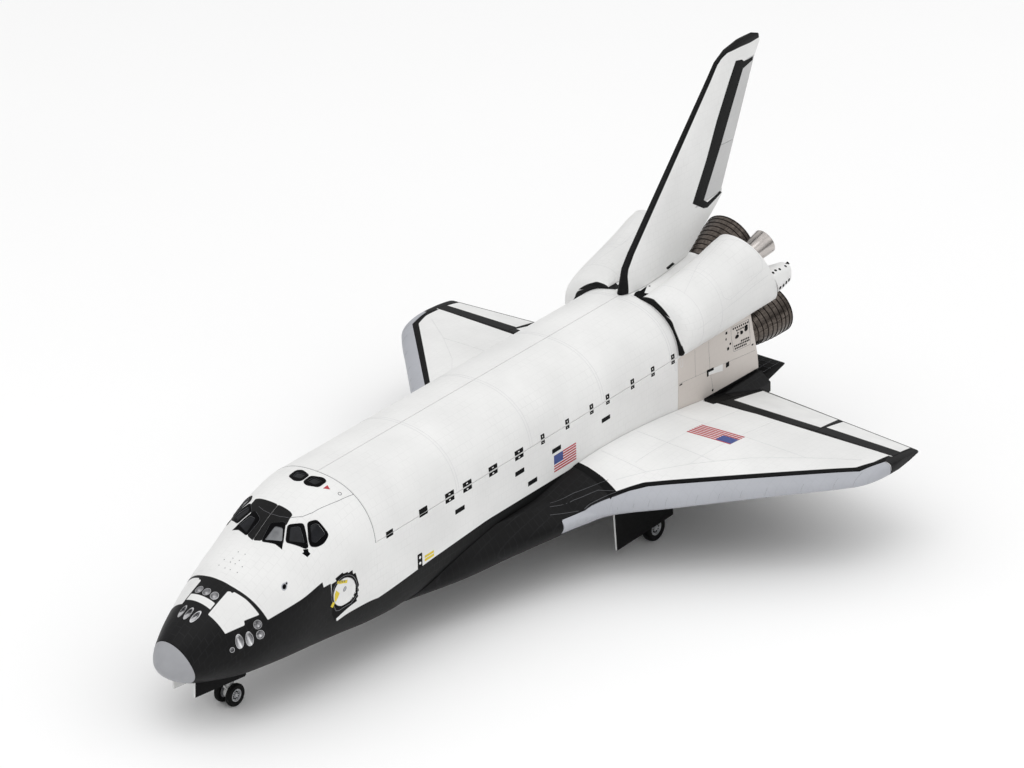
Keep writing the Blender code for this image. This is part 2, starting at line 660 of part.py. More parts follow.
def build_wing(name, side, airframe):
    room = add_cutter(f"hull_room_{name}", hull_mesh("hull_room", 560.0, 1600.0, -GAP), airframe)
    wing = add_part(f"wing_{name}", wing_mesh("wing", side), "white_satin", airframe)
    rings = []
    for station in (STUB_FRONT, STUB_REAR):
        rings.append([place(station, port * side, height) for port, height in STUB])
    stub = add_cutter(f"stub_{name}", loft("stub", rings), airframe)
    carve(wing, stub, "UNION")
    carve(wing, room)

    shape = prism("edge_room", mirrored(edge_outline(1.2), side), "plan", 200, 400)
    carve(wing, add_cutter(f"edge_room_{name}", shape, airframe))
    edge = add_part(f"leading_edge_{name}", wing_mesh("leading_edge", side), "pale_grey", airframe)
    shape = prism("edge_shape", mirrored(edge_outline(0.0), side), "plan", 200, 400)
    carve(edge, add_cutter(f"edge_shape_{name}", shape, airframe), "INTERSECT")

    shape = prism("elevon_room", mirrored(elevon_outline(ELEVON_INNER, ELEVON_OUTER, GAP), side), "plan", 200, 400)
    carve(wing, add_cutter(f"elevon_room_{name}", shape, airframe))
    spans = (("inboard", ELEVON_INNER, ELEVON_SPLIT - GAP / 2), ("outboard", ELEVON_SPLIT + GAP / 2, ELEVON_OUTER))
    for label, inner, outer in spans:
        elevon = add_part(f"elevon_{label}_{name}", wing_mesh("elevon", side), "white_satin", airframe)
        shape = prism("elevon_shape", mirrored(elevon_outline(inner, outer, 0.0), side), "plan", 200, 400)
        carve(elevon, add_cutter(f"elevon_shape_{label}_{name}", shape, airframe), "INTERSECT")

    front, rear, inner, outer, top = MAIN_WELL
    well = block("main_well", (front, inner * side, 200), (rear, outer * side, top))
    carve(wing, add_cutter(f"main_well_{name}", well, airframe))


def fin_mesh(name):
    rings = []
    for height, lead, trail, half in FIN:
        port_side, other_side = [], []
        for step in range(FIN_STEPS + 1):
            fraction = 1 - math.cos(math.pi / 2 * step / FIN_STEPS)
            station = lead + (trail - lead) * fraction
            out = half * foil(fraction) * (1 - 0.1 * fraction) + 0.7
            port_side.append(place(station, out, height))
            other_side.append(place(station, -out, height))
        rings.append(port_side + other_side[::-1])
    return loft(name, rings)


def build_fin(airframe):
    fin = add_part("vertical_fin", fin_mesh("fin"), "white_satin", airframe)
    grown = [(RUDDER[0][0] - GAP, RUDDER[0][1] - GAP), (RUDDER[1][0] - GAP, RUDDER[1][1] + GAP),
             (1710.0, RUDDER[1][1] + GAP), (1710.0, RUDDER[0][1] - GAP)]
    carve(fin, add_cutter("rudder_room", prism("rudder_room", grown, "side", -30, 30), airframe))
    front, rear = RUDDER_SPLIT
    above = [rudder_front(front + GAP / 2), RUDDER[1], RUDDER[2], (RUDDER[2][0], rear + GAP / 2)]
    under = [RUDDER[0], rudder_front(front - GAP / 2), (RUDDER[3][0], rear - GAP / 2), RUDDER[3]]
    for label, outline in (("upper", above), ("lower", under)):
        rudder = add_part(f"rudder_{label}", fin_mesh("rudder"), "pale_grey", airframe)
        shape = prism("rudder_shape", outline, "side", -30, 30)
        carve(rudder, add_cutter(f"rudder_shape_{label}", shape, airframe), "INTERSECT")


def rudder_front(height):
    """The place on the rudder's hinge line at a height."""
    (low_station, low_height), (high_station, high_height) = RUDDER[0], RUDDER[1]
    share = (height - low_height) / (high_height - low_height)
    return low_station + (high_station - low_station) * share, height


def pod_ring(station, grown_out, grown_up, side):
    """The fuselage shoulder on the inside and the swelling pod on the outside."""
    first = crown_angle(station, -GAP, height=SILL_HEIGHT + 2)
    last = crown_angle(station, -GAP, port=34.0)
    outer, inner = [], []
    for step in range(POD_STEPS + 1):
        share = step / POD_STEPS
        port, height = hull_point(station, first + (last - first) * share, -GAP)
        inner.append(place(station, port * side, height))
        port, height = hull_point(station, first + (last - first) * share, -GAP - 1.6)
        angle = POD_END + (POD_START - POD_END) * share
        across, up = math.cos(angle), math.sin(angle)
        full_port = POD_CENTRE[0] + POD_HALF[0] * math.copysign(abs(across) ** (2 / POD_POWER), across)
        full_height = POD_CENTRE[1] + POD_HALF[1] * math.copysign(abs(up) ** (2 / POD_POWER), up)
        port += (full_port - port) * grown_out
        height += (full_height - height) * grown_up
        outer.append(place(station, port * side, height))
    return outer + inner[::-1]


def pod_rear_outline(shift):
    (top_station, top_height), (low_station, low_height) = POD_REAR_TOP, POD_REAR_LOW
    lean = (low_station - top_station) / (top_height - low_height)
    low, high = low_height - 60, top_height + 60
    return [(low_station + shift + 60 * lean, low), (top_station + shift - 60 * lean, high),
            (1800, high), (1800, low)]


def build_pod(name, side, airframe):
    pod = add_part(f"orbital_engine_pod_{name}", loft("pod", [pod_ring(*row, side) for row in POD]),
                   "white_satin", airframe)
    behind = prism("behind_pod", pod_rear_outline(0.0), "side", -200, 200)
    carve(pod, add_cutter(f"behind_pod_{name}", behind, airframe))

    rings = []
    for station, size in STINGER:
        ring = []
        for step in range(16):
            angle = 2 * math.pi * step / 16
            across, up = math.cos(angle), math.sin(angle)
            port = STINGER_CENTRE[0] + size * STINGER_HALF[0] * math.copysign(abs(across) ** 0.6, across)
            height = STINGER_CENTRE[1] + size * STINGER_HALF[1] * math.copysign(abs(up) ** 0.6, up)
            ring.append(place(station, port * side, height))
        rings.append(ring)
    stinger = add_part(f"thruster_housing_{name}", loft("stinger", rings), "white_satin", airframe)
    ahead = pod_rear_outline(GAP)
    room = prism("stinger_room", [ahead[0], ahead[1], (1400, ahead[1][1]), (1400, ahead[0][1])], "side", -200, 200)
    carve(stinger, add_cutter(f"stinger_room_{name}", room, airframe))


def thrust_line(pitch, yaw):
    up, out = math.radians(pitch), math.radians(yaw)
    return Vector((math.cos(up) * math.sin(out), math.cos(up) * math.cos(out), math.sin(up)))


def bell_profile(rows, wall):
    """A closed bell: up the inside from its floor, over the lip and down the outside."""
    floor = rows[0][0] + wall
    inside = [(0.0, floor)]
    for along, radius in rows:
        inside.append((radius - wall, max(along, floor)))
    outside = [(radius, along) for along, radius in reversed(rows)]
    return inside + outside + [(0.0, rows[0][0])]


def build_engines(airframe):
    room = base_outline(GAP)
    ahead = [room[0], room[1], (1300, room[1][1]), (1300, room[0][1])]
    for name, gimbal, pitch, yaw in MAIN_ENGINES:
        line = thrust_line(pitch, yaw)
        turned(f"main_engine_bell_{name}", bell_profile(MAIN_BELL, BELL_WALL), "nozzle_metal", airframe,
               gimbal, line, BELL_STEPS)
        profile = [(0.0, MAIN_SHIELD_RADII[0][0])]
        profile += [(radius, along) for along, radius in MAIN_SHIELD_RADII]
        profile += [(0.0, MAIN_SHIELD_RADII[-1][0])]
        shield = turned(f"engine_heat_shield_{name}", profile, "stone_grey", airframe, gimbal, line, BELL_STEPS)
        cutter = prism(f"shield_room_{name}", ahead, "side", -160, 160)
        carve(shield, add_cutter(f"shield_room_{name}", cutter, airframe))
    pod_room = pod_rear_outline(GAP)
    ahead = [pod_room[0], pod_room[1], (1300, pod_room[1][1]), (1300, pod_room[0][1])]
    for name, gimbal, pitch, yaw in ORBITAL_ENGINES:
        bell = turned(f"orbital_engine_bell_{name}", orbital_profile(), "bell_steel", airframe, gimbal,
                      thrust_line(pitch, yaw), SMALL_BELL_STEPS)
        cutter = prism(f"bell_room_{name}", ahead, "side", -200, 200)
        carve(bell, add_cutter(f"bell_room_{name}", cutter, airframe))


def orbital_profile():
    """The small bell is solid ahead of its throat, where the pod's rear face cuts it off."""
    inside = [(0.0, 14.0)]
    inside += [(radius - ORBITAL_WALL, max(along, 14.0)) for along, radius in ORBITAL_BELL[1:]]
    outside = [(radius, along) for along, radius in reversed(ORBITAL_BELL)]
    return inside + outside + [(0.0, ORBITAL_BELL[0][0])]


def tyre_profile(radius, width, hub):
    """Round-shouldered tyre section, closed, from its upper bead over the tread to the lower bead."""
    half = width / 2
    rows = [(hub, half * 0.8), ((radius + hub) / 2, half), (radius * 0.93, half * 0.82), (radius, half * 0.35)]
    lower = [(r, -along) for r, along in reversed(rows)]
    return rows + lower


def hub_profile(hub, spacing, width):
    """Two discs on one axle."""
    out, rim = spacing + width * 0.38, spacing - width * 0.38
    side = [(0.0, out - 0.6), (hub * 0.3, out - 0.2), (hub * 0.35, out - 2.0), (hub * 0.8, out - 2.0),
            (hub * 0.86, out), (hub, out), (hub, rim), (AXLE_RADIUS, rim)]
    return side + [(r, -along) for r, along in reversed(side)]


def build_wheels(name, station, height, leg, tyre, spacing, airframe):
    radius, width = tyre
    hub = radius * 0.55
    across = Vector((1.0, 0.0, 0.0))
    centre = (station, leg, height)
    turned(f"{name}_wheel_hubs", hub_profile(hub, spacing, width), "gear_silver", airframe, centre, across, HUB_STEPS)
    for label, offset in (("port", spacing), ("starboard", -spacing)):
        turned(f"{name}_tyre_{label}", tyre_profile(radius, width, hub + GAP), "tyre_rubber", airframe,
               (station, leg + offset, height), across, TYRE_STEPS)


def build_leg(name, station, height, leg, seat, well_top, brace, airframe):
    """Leg, axle sleeve and drag brace as one solid, with a bore for the turning axle."""
    top = well_top - GAP
    parts = [rod("leg", (station, leg, height + 2), (station, leg, top), LEG_RADIUS, 18),
             rod("sleeve", (station, leg - seat, height), (station, leg + seat, height), AXLE_RADIUS * 2.2, 16),
             rod("brace", brace[0], brace[1], LEG_RADIUS * 0.6, 12),
             block("foot", (station - 9, leg - 9, top - 5), (station + 9, leg + 9, top)),
             block("brace_foot", (brace[1][0] - 6, leg - 7, top - 4), (brace[1][0] + 6, leg + 7, top))]
    strut = fuse(f"{name}_leg", parts, "white_satin", airframe)
    bore = rod("bore", (station, leg - 30, height), (station, leg + 30, height), AXLE_RADIUS + GAP + 0.2, 16)
    carve(strut, add_cutter(f"{name}_axle_bore", bore, airframe))


def build_gear(airframe):
    station, height = NOSE_AXLE
    build_wheels("nose", station, height, 0.0, NOSE_TYRE, NOSE_SPACING, airframe)
    top = NOSE_WELL[3]
    build_leg("nose", station, height, 0.0, 5.0, top, ((station, 0, 272), (station - 55, 0, top - 3)), airframe)
    for name, side in (("port", 1), ("starboard", -1)):
        out = (NOSE_WELL[2] - GAP) * side
        plate = prism("nose_door", NOSE_DOOR, "side", out, out - DOOR_THICK * side)
        add_part(f"nose_gear_door_{name}", plate, "tile_black", airframe)

    station, height = MAIN_AXLE
    top = MAIN_WELL[4]
    for name, side in (("port", 1), ("starboard", -1)):
        leg = MAIN_LEG * side
        build_wheels(f"main_{name}", station, height, leg, MAIN_TYRE, MAIN_SPACING, airframe)
        build_leg(f"main_{name}", station, height, leg, 5.0, top,
                  ((station, leg, 232), (station - 70, leg, top - 3)), airframe)
        out = (MAIN_WELL[3] - GAP) * side
        plate = prism("main_door", MAIN_DOOR, "side", out, out - DOOR_THICK * side)
        add_part(f"main_gear_door_{name}", plate, "tile_black", airframe)


def stand_on_wheels(airframe):
    """Pitch the airframe so that nose and main tyres meet one floor, and centre its length."""
    along = MAIN_AXLE[0] - NOSE_AXLE[0]
    rise = MAIN_AXLE[1] - NOSE_AXLE[1]
    drop = MAIN_TYRE[0] - NOSE_TYRE[0]
    pitch = math.asin(drop / math.hypot(along, rise)) - math.atan2(rise, along)
    turn = Matrix.Rotation(pitch, 3, "X")
    axle = turn @ place(MAIN_AXLE[0], 0.0, MAIN_AXLE[1])
    nose = turn @ place(NOSE_TIP, 0.0, HULL[0][2])
    tail = turn @ place(FIN[8][2], 0.0, FIN[8][0])
    airframe.rotation_euler = (pitch, 0.0, 0.0)
    airframe.location = (0.0, -(nose.y + tail.y) / 2, MAIN_TYRE[0] * INCH - axle.z)


def main():
    clear_scene()
    airframe = make_airframe()
    build_nose(airframe)
    build_cabin(airframe)
    build_mid(airframe)
    build_aft(airframe)
    for name, side in (("port", 1), ("starboard", -1)):
        build_wing(name, side, airframe)
        build_pod(name, side, airframe)
    build_fin(airframe)
    build_engines(airframe)
    build_gear(airframe)
    stand_on_wheels(airframe)


main()
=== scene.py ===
"""Looks for a 1:72 display model of a winged space shuttle: fine skins, paints, fittings and a plain studio."""

import json
import math

import bmesh
import bpy
import numpy as np
from mathutils import Matrix, Vector

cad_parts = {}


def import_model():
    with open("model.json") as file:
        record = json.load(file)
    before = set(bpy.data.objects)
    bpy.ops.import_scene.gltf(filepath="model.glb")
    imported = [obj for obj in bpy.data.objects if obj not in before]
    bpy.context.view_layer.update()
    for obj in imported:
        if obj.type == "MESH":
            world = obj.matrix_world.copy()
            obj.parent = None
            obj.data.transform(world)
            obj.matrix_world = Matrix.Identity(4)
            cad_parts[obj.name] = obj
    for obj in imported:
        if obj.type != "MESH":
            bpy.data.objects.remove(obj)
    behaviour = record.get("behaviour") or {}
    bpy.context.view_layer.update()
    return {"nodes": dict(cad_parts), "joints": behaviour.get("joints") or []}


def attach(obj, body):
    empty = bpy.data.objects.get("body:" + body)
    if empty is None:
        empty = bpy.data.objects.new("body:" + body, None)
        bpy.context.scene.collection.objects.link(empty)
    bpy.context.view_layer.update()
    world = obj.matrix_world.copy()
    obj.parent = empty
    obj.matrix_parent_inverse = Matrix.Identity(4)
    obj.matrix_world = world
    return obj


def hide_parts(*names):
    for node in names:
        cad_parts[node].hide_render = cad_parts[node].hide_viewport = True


bl_info = {
    "name": "Space shuttle display model",
    "version": (1, 0, 0),
    "blender": (4, 5, 0),
    "location": "View3D > Sidebar > Shuttle",
    "description": "Builds the fine skins, paints and fittings of a space shuttle display model",
    "category": "Object",
}

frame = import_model()

# Lengths are inches of the full-size craft, at 1:72. A place is (station, port, height): station grows
# from nose to tail. The payload door's hinge gives the airframe's lean and where it stands.
INCH = 0.0254 / 72
HINGE = next(j for j in frame["joints"] if j["name"] == "bay_door_port_hinge")
LEAN_COS, LEAN_SIN = HINGE["axis"][1], HINGE["axis"][2]
TURN = np.array([[1.0, 0.0, 0.0], [0.0, LEAN_COS, -LEAN_SIN], [0.0, LEAN_SIN, LEAN_COS]])
HINGE_PLACE = (582, 106.7, 418)
SHIFT = np.array(HINGE["pos_m"]) - TURN @ (np.array([HINGE_PLACE[1], HINGE_PLACE[0], HINGE_PLACE[2]]) * INCH)

# Hair line between moving pieces, half the hair line between fixed ones painted as one, and the doors' thickness
GAP = 0.9
CLOSE = 0.05
SKIN = 5.0

# The nose's tip, the cabin's front, and the payload bay's ends, as stations
NOSE_TIP = 238.0
CABIN_FRONT = 378.0
BAY_FRONT = 582.0
BAY_REAR = 1307.0

# The bay's hollow: its middle height and radius
BAY_MIDDLE = 400.0
BAY_RADIUS = 92.0

# Where the fuselage's lower and upper mouldings meet, and the doors' lower edges
SPLIT_HEIGHT = 335.0
SILL_HEIGHT = 418.0

# Fuselage sections: station, half width, height of widest point, crown, keel, crown power, keel power
HULL = [
    (238, 0.1, 340, 340.1, 339.9, 2, 2),
    (242, 13, 340, 352, 329, 2, 2),
    (248, 21, 339, 361, 321, 2, 2),
    (258, 30.5, 337, 371.5, 312, 2, 2),
    (277, 43, 334, 384.5, 300, 2, 1.9),
    (310, 60, 335, 401, 288, 2, 1.8),
    (345, 74, 338, 415.5, 279, 2.05, 1.9),
    (380, 85, 346, 428.5, 274, 2.1, 2),
    (434, 96, 360, 449, 271.5, 2.2, 2.3),
    (483, 99.5, 378, 477, 270, 2.25, 2.8),
    (530, 102.5, 394, 495, 269.5, 2.3, 3.5),
    (582, 106, 408, 500.5, 269, 2.35, 4.6),
    (640, 106, 408, 500.5, 269, 2.35, 5.5),
    (1600, 106, 408, 500.5, 269, 2.35, 5.5),
]

# Corners round the fuselage's skin
RING = 144

# Wing sections: port, leading edge station and height, trailing edge station and height,
# crown rise, keel drop and glove rise
WING = [
    (80, 640, 285, 1509, 286, 58, 16, 42),
    (106, 730, 286, 1504.6, 286.6, 56, 17, 40),
    (120, 800, 288, 1502.2, 287.3, 54, 17.5, 34),
    (140, 890, 290, 1498.6, 288.4, 51, 17.5, 26),
    (158, 960, 292, 1495.4, 289.4, 48, 17, 19),
    (175, 1006, 293.5, 1492.4, 290.3, 45, 16.5, 14),
    (200, 1037, 295, 1488, 291.7, 42, 16, 5),
    (240, 1074, 296.5, 1480.9, 293.9, 37.5, 14, 0),
    (300, 1134, 299, 1470.2, 297.1, 31, 11.5, 0),
    (380, 1214, 302.5, 1456, 301.5, 22.5, 8, 0),
    (441, 1276, 305, 1445.2, 304.8, 16, 7.5, 0),
    (457, 1297, 305.5, 1442.5, 305.6, 13.5, 8, 0),
    (466.5, 1325, 305.8, 1440.5, 306.1, 10, 8, 0),
    (470, 1366, 306, 1437, 306.3, 6, 6.5, 0),
]

# The leading edge piece: its ends, as stations, and its rear line as (station, port)
EDGE_FRONT = 950.0
EDGE_REAR = 1362.0
EDGE_BACK = [(952, 149.5), (1004, 162), (1042, 187), (1080, 215), (1310, 446), (1345, 455), (1360, 458.5)]

# The elevons: their hinge line's station, and the distances from the centre plane where they part
HINGE_STATION = 1387.0
ELEVON_INNER = 129.0
ELEVON_SPLIT = 308.5
ELEVON_OUTER = 456.0

# Fin sections: height, leading edge station, trailing edge station, greatest half thickness
FIN = [
    (501.6, 1296, 1477, 14),
    (515, 1300, 1495, 13.7),
    (540, 1307, 1528, 13),
    (560, 1322.5, 1554.5, 12.5),
    (576, 1337.7, 1573, 12),
    (586, 1347, 1571.5, 11.8),
    (700, 1455, 1624, 8.8),
    (782, 1532.5, 1661.5, 6.5),
    (806, 1554, 1677, 5.6),
    (819, 1578, 1674, 4.2),
    (825.7, 1612, 1655, 1.6),
]

# The rudder's outline, and where its two panels part, in front and behind
RUDDER = [(1490, 582), (1615.5, 785), (1700, 785), (1700, 582)]
RUDDER_SPLIT = (666, 648)

# The aft fuselage's leaning base: its foot and its lean
BASE_LOW = (1533, 296)
BASE_TILT = math.radians(13.8)

# Orbital engine pods: station and how far the pod has grown, outwards and upwards
POD = [(1309, 0.34, 0.06), (1312, 0.58, 0.16), (1321, 0.74, 0.26), (1350, 0.85, 0.4), (1400, 0.92, 0.58),
    (1440, 0.96, 0.74), (1480, 0.99, 0.92), (1520, 1, 1), (1575, 0.92, 0.92)]

# A pod's full section, how far round it reaches, and its leaning rear plane
POD_CENTRE = (84, 484)
POD_HALF = (50, 76)
POD_POWER = 2.1
POD_START = math.radians(167.0)
POD_END = math.radians(-52.0)
POD_REAR_TOP = (1481, 562)
POD_REAR_LOW = (1563, 418)

# Thruster housings: station and share of the full size, and their middle and half size
STINGER = [(1520, 0.98), (1556, 0.94), (1584, 0.74)]
STINGER_CENTRE = (116, 462)
STINGER_HALF = (18, 22)

# Engines: gimbal place, pitch up and yaw out in degrees
MAIN_ENGINES = {"upper": ((1445.0, 0.0, 443.0), 16.0, 0.0),
                "port": ((1468.0, 53.0, 342.6), 10.0, 3.5),
                "starboard": ((1468.0, -53.0, 342.6), 10.0, -3.5)}

# Bells and shields: distance along the thrust line and radius
MAIN_BELL = [(68, 27.5), (80, 31.5), (95, 35.8), (112, 39.6), (130, 42.8), (157, 46)]
MAIN_SHIELD = [(66.8, 35), (64, 39), (56, 44), (30, 47)]
BELL_WALL = 2.6
ORBITAL_ENGINES = {"port": ((1486, 85.5, 498), 15.8, 6.5), "starboard": ((1486, -85.5, 498), 15.8, -6.5)}
ORBITAL_BELL = [(-30, 9), (10, 9.5), (22, 12), (38, 16.3), (56, 19.4), (77, 21.5)]
ORBITAL_WALL = 2.2

# Landing gear: axle station and height, tyre radius and width, spacing from the leg
GEAR = {"nose": ((371.0, 0.0, 235.3), 17.3, 9.0, 11.0),
        "main_port": ((1178.0, 137.0, 187.5), 22.3, 15.5, 14.2),
        "main_starboard": ((1178.0, -137.0, 187.5), 22.3, 15.5, 14.2)}
AXLE_RADIUS = 3.4
LEG_RADIUS = 4.6
SIDES = {"port": 1, "starboard": -1}

# Crew hatch on the port side, and the window openings there, corner by corner
HATCH = (514.5, 367.3, 21.3, 346.5)
WINDOWS = [
    [(468.8, 18.0, 468.3), (472.2, 31.0, 467.8), (456.8, 42.1, 455.2), (445.7, 16.5, 454.4)],
    [(477.3, 38.5, 468.8), (487.3, 49.1, 469.5), (475.7, 67.2, 452.0), (461.6, 49.1, 455.3)],
    [(497.0, 58.0, 468.5), (507.0, 62.0, 469.5), (508.0, 78.0, 456.5), (487.0, 76.0, 449.5),
     (483.5, 72.0, 452.5)],
]
ROOF_WINDOW = [(552.5, 5, 498.2), (567, 6.5, 499.8), (566.5, 25.5, 498.4), (552, 22, 497)]


def world(places):
    """Places in inches, (station, port, height), to metres in the row frame."""
    places = np.asarray(places, float)
    return places[..., [1, 0, 2]] * INCH @ TURN.T + SHIFT


def places_of(mesh):
    """A mesh's vertices as places in inches."""
    spots = np.empty(len(mesh.vertices) * 3)
    mesh.vertices.foreach_get("co", spots)
    return ((spots.reshape(-1, 3) - SHIFT) @ TURN / INCH)[:, [1, 0, 2]]


def eased(rows, column, position):
    """Monotone cubic through one column of a table, so that a row's value is never overshot."""
    knots = np.array([row[0] for row in rows])
    values = np.array([row[column] for row in rows])
    slopes = np.diff(values) / np.diff(knots)
    product = slopes[:-1] * slopes[1:]
    total = slopes[:-1] + slopes[1:]
    inner = np.where(product > 0, 2 * product / np.where(total == 0, 1.0, total), 0.0)
    tangents = np.concatenate([[slopes[0]], inner, [slopes[-1]]])
    index = np.clip(np.searchsorted(knots, position, side="left") - 1, 0, len(knots) - 2)
    span = knots[index + 1] - knots[index]
    t = np.clip((position - knots[index]) / span, 0.0, 1.0)
    return ((2 * t ** 3 - 3 * t ** 2 + 1) * values[index] + (t ** 3 - 2 * t ** 2 + t) * span * tangents[index]
            + (3 * t ** 2 - 2 * t ** 3) * values[index + 1] + (t ** 3 - t ** 2) * span * tangents[index + 1])


HULL_ROOTS = [(math.sqrt(row[0] - NOSE_TIP), *row[1:]) for row in HULL]


def section(station):
    """The fuselage's section: half width, widest height, crown, keel, and the powers above and below."""
    root = np.sqrt(np.maximum(station - NOSE_TIP, 0.0))
    return [eased(HULL_ROOTS, column, root) for column in range(1, 7)]


def half_of(station, height):
    """The section's half width, whether heights lie above its middle, its power there, and their share of the
    way to crown or keel."""
    half, middle, crown, keel, crown_power, keel_power = section(station)
    above = height >= middle
    reach = np.where(above, crown - middle, middle - keel)
    return half, above, np.where(above, crown_power, keel_power), np.abs(height - middle) / reach


def hull(station, angle, inset=0.0):
    """Places on the fuselage skin: angle 0 is out to port, a quarter turn the crown."""
    station, angle = np.broadcast_arrays(np.asarray(station, float), np.asarray(angle, float))
    half, middle, crown, keel, crown_power, keel_power = section(station)
    across, up = np.cos(angle), np.sin(angle)
    power = np.where(up >= 0, crown_power, keel_power)
    reach = np.where(up >= 0, crown - inset - middle, middle - keel - inset)
    port = np.maximum(half - inset, 0.01) * np.sign(across) * np.abs(across) ** (2 / power)
    height = middle + reach * np.sign(up) * np.abs(up) ** (2 / power)
    return np.stack([station, port, height], -1)


def hull_angle(places):
    """The ring angle of places on or near the skin, folded to the port side."""
    half, above, power, up = half_of(places[..., 0], places[..., 2])
    up = np.clip(up, 0, 1.2) ** (power / 2)
    across = np.clip(np.abs(places[..., 1]) / np.maximum(half, 0.01), 0, 1.2) ** (power / 2)
    return np.arctan2(np.where(above, up, -up), across)


def chart_row(station):
    """The whole and the broken part of a station's row in the table of girths."""
    row = np.interp(station, CHART_STATIONS, np.arange(len(CHART_STATIONS)))
    row = np.clip(row, 0, len(CHART_STATIONS) - 1.001)
    return row.astype(int), row - row.astype(int)


def angle_at(station, inset=0.0, height=None, port=None):
    """The crown angle at which the skin reaches a height or a port distance."""
    half, middle, crown, _, power, _ = section(np.asarray(station, float))
    if height is not None:
        return np.arcsin(np.clip((height - middle) / (crown - inset - middle), 0, 1) ** (power / 2))
    return np.arccos(np.clip(port / (half - inset), 0, 1) ** (power / 2))


CHART_STATIONS = np.concatenate([np.linspace(238.5, 640.0, 135), [1700.0]])
CHART_ANGLES = np.linspace(math.pi / 2, -math.pi / 2, 361)


def girth_table():
    """How far round the skin from the crown each ring angle lies, station by station."""
    rings = hull(CHART_STATIONS[:, None], CHART_ANGLES[None, :])
    steps = np.linalg.norm(np.diff(rings, axis=1), axis=-1)
    return np.concatenate([np.zeros((len(CHART_STATIONS), 1)), np.cumsum(steps, axis=1)], axis=1)


GIRTHS = girth_table()


def chart(places):
    """Hull places unrolled: station, and inches round the skin from the crown, positive to port."""
    places = np.asarray(places, float)
    angle = hull_angle(places)
    r, fr = chart_row(places[..., 0])
    column = np.clip((math.pi / 2 - angle) / math.pi * 360, 0, 359.999)
    c = column.astype(int)
    fc = column - c
    girth = ((GIRTHS[r, c] * (1 - fc) + GIRTHS[r, c + 1] * fc) * (1 - fr)
             + (GIRTHS[r + 1, c] * (1 - fc) + GIRTHS[r + 1, c + 1] * fc) * fr)
    return np.stack([places[..., 0], girth * np.where(places[..., 1] < 0, -1.0, 1.0)], -1)


def outside(spots, corners):
    """Signed distance from flat spots to an outline, negative inside it."""
    corners = np.asarray(corners, float)
    best = np.full(spots.shape[0], 1e9)
    inside = np.zeros(spots.shape[0], bool)
    for first, second in zip(corners, np.roll(corners, -1, axis=0)):
        edge = second - first
        away = spots - first
        share = np.clip(away @ edge / max(edge @ edge, 1e-12), 0, 1)
        best = np.minimum(best, np.linalg.norm(away - share[:, None] * edge, axis=1))
        crosses = (first[1] > spots[:, 1]) != (second[1] > spots[:, 1])
        rise = edge[1] if abs(edge[1]) > 1e-12 else 1e-12
        inside ^= crosses & (spots[:, 0] < first[0] + (spots[:, 1] - first[1]) * edge[0] / rise)
    return np.where(inside, -best, best)


def on_skin(corners):
    """An outline given as hull places, as corners on the unrolled skin."""
    return chart(np.array(corners, float))


def rolled(flat, lift=0.0):
    """Unrolled spots back on the fuselage skin, raised by a lift."""
    flat = np.asarray(flat, float)
    whole, share = chart_row(flat[:, 0])
    girths = GIRTHS[whole] * (1 - share[:, None]) + GIRTHS[whole + 1] * share[:, None]
    angle = np.array([np.interp(abs(girth), table, CHART_ANGLES) for girth, table in zip(flat[:, 1], girths)])
    places = hull(flat[:, 0], angle, -lift)
    places[:, 1] *= np.where(flat[:, 1] < 0, -1.0, 1.0)
    return places


def at_height(spots):
    """Unrolled spots for (station, height) on the port side."""
    station, height = np.array(spots, float).T
    _, above, power, up = half_of(station, height)
    angle = np.arcsin(np.clip(up, 0, 1) ** (power / 2))
    return chart(hull(station, np.where(above, angle, -angle)))


def at_port(spots):
    """Unrolled spots for (station, port) on the upper skin."""
    station, port = np.array(spots, float).T
    places = hull(station, angle_at(station, port=np.abs(port)))
    places[:, 1] *= np.where(port < 0, -1.0, 1.0)
    return chart(places)


def facing(surface, flat):
    """Places and outward normals of flat spots on a surface."""
    flat = np.asarray(flat, float)
    base = surface(flat, 0.0)
    normal = np.cross(surface(flat + (0.5, 0.0), 0.0) - base, surface(flat + (0.0, 0.5), 0.0) - base)
    normal *= np.sign((normal * (surface(flat, 1.0) - base)).sum(1))[:, None]
    return base, normal / np.linalg.norm(normal, axis=1)[:, None]


def softened(corners, radius, growth=0.0, steps=5):
    """A flat outline moved outwards from its middle by about a growth, with its corners rounded."""
    corners = np.asarray(corners, float)
    arms = corners - corners.mean(axis=0)
    corners = corners + arms * growth / np.linalg.norm(arms, axis=1)[:, None]
    result = []
    for before, corner, after in zip(np.roll(corners, 1, axis=0), corners, np.roll(corners, -1, axis=0)):
        lengths = [np.linalg.norm(other - corner) for other in (before, after)]
        cut = min(radius, *(reach * 0.45 for reach in lengths))
        start, end = [corner + (other - corner) / reach * cut for other, reach in zip((before, after), lengths)]
        for share in np.linspace(0, 1, steps):
            result.append(start * (1 - share) ** 2 + 2 * corner * share * (1 - share) + end * share ** 2)
    return np.array(result)


def round_of(centre, radius, steps=24):
    """A flat circle's corners."""
    turn = np.arange(steps) * 2 * math.pi / steps
    return np.asarray(centre) + radius * np.column_stack([np.cos(turn), np.sin(turn)])


def disc_of(centre, radius):
    """The cells of a flat disc."""
    return cells_of(round_of(centre, radius))


def ring_of(centre, outer, inner):
    """The cells of a flat ring."""
    return band_of(round_of(centre, outer), round_of(centre, inner))


def sided(cells, side):
    """Flat cells of the port side on one side of the craft."""
    return [(flat * (1, side), faces) for flat, faces in cells]


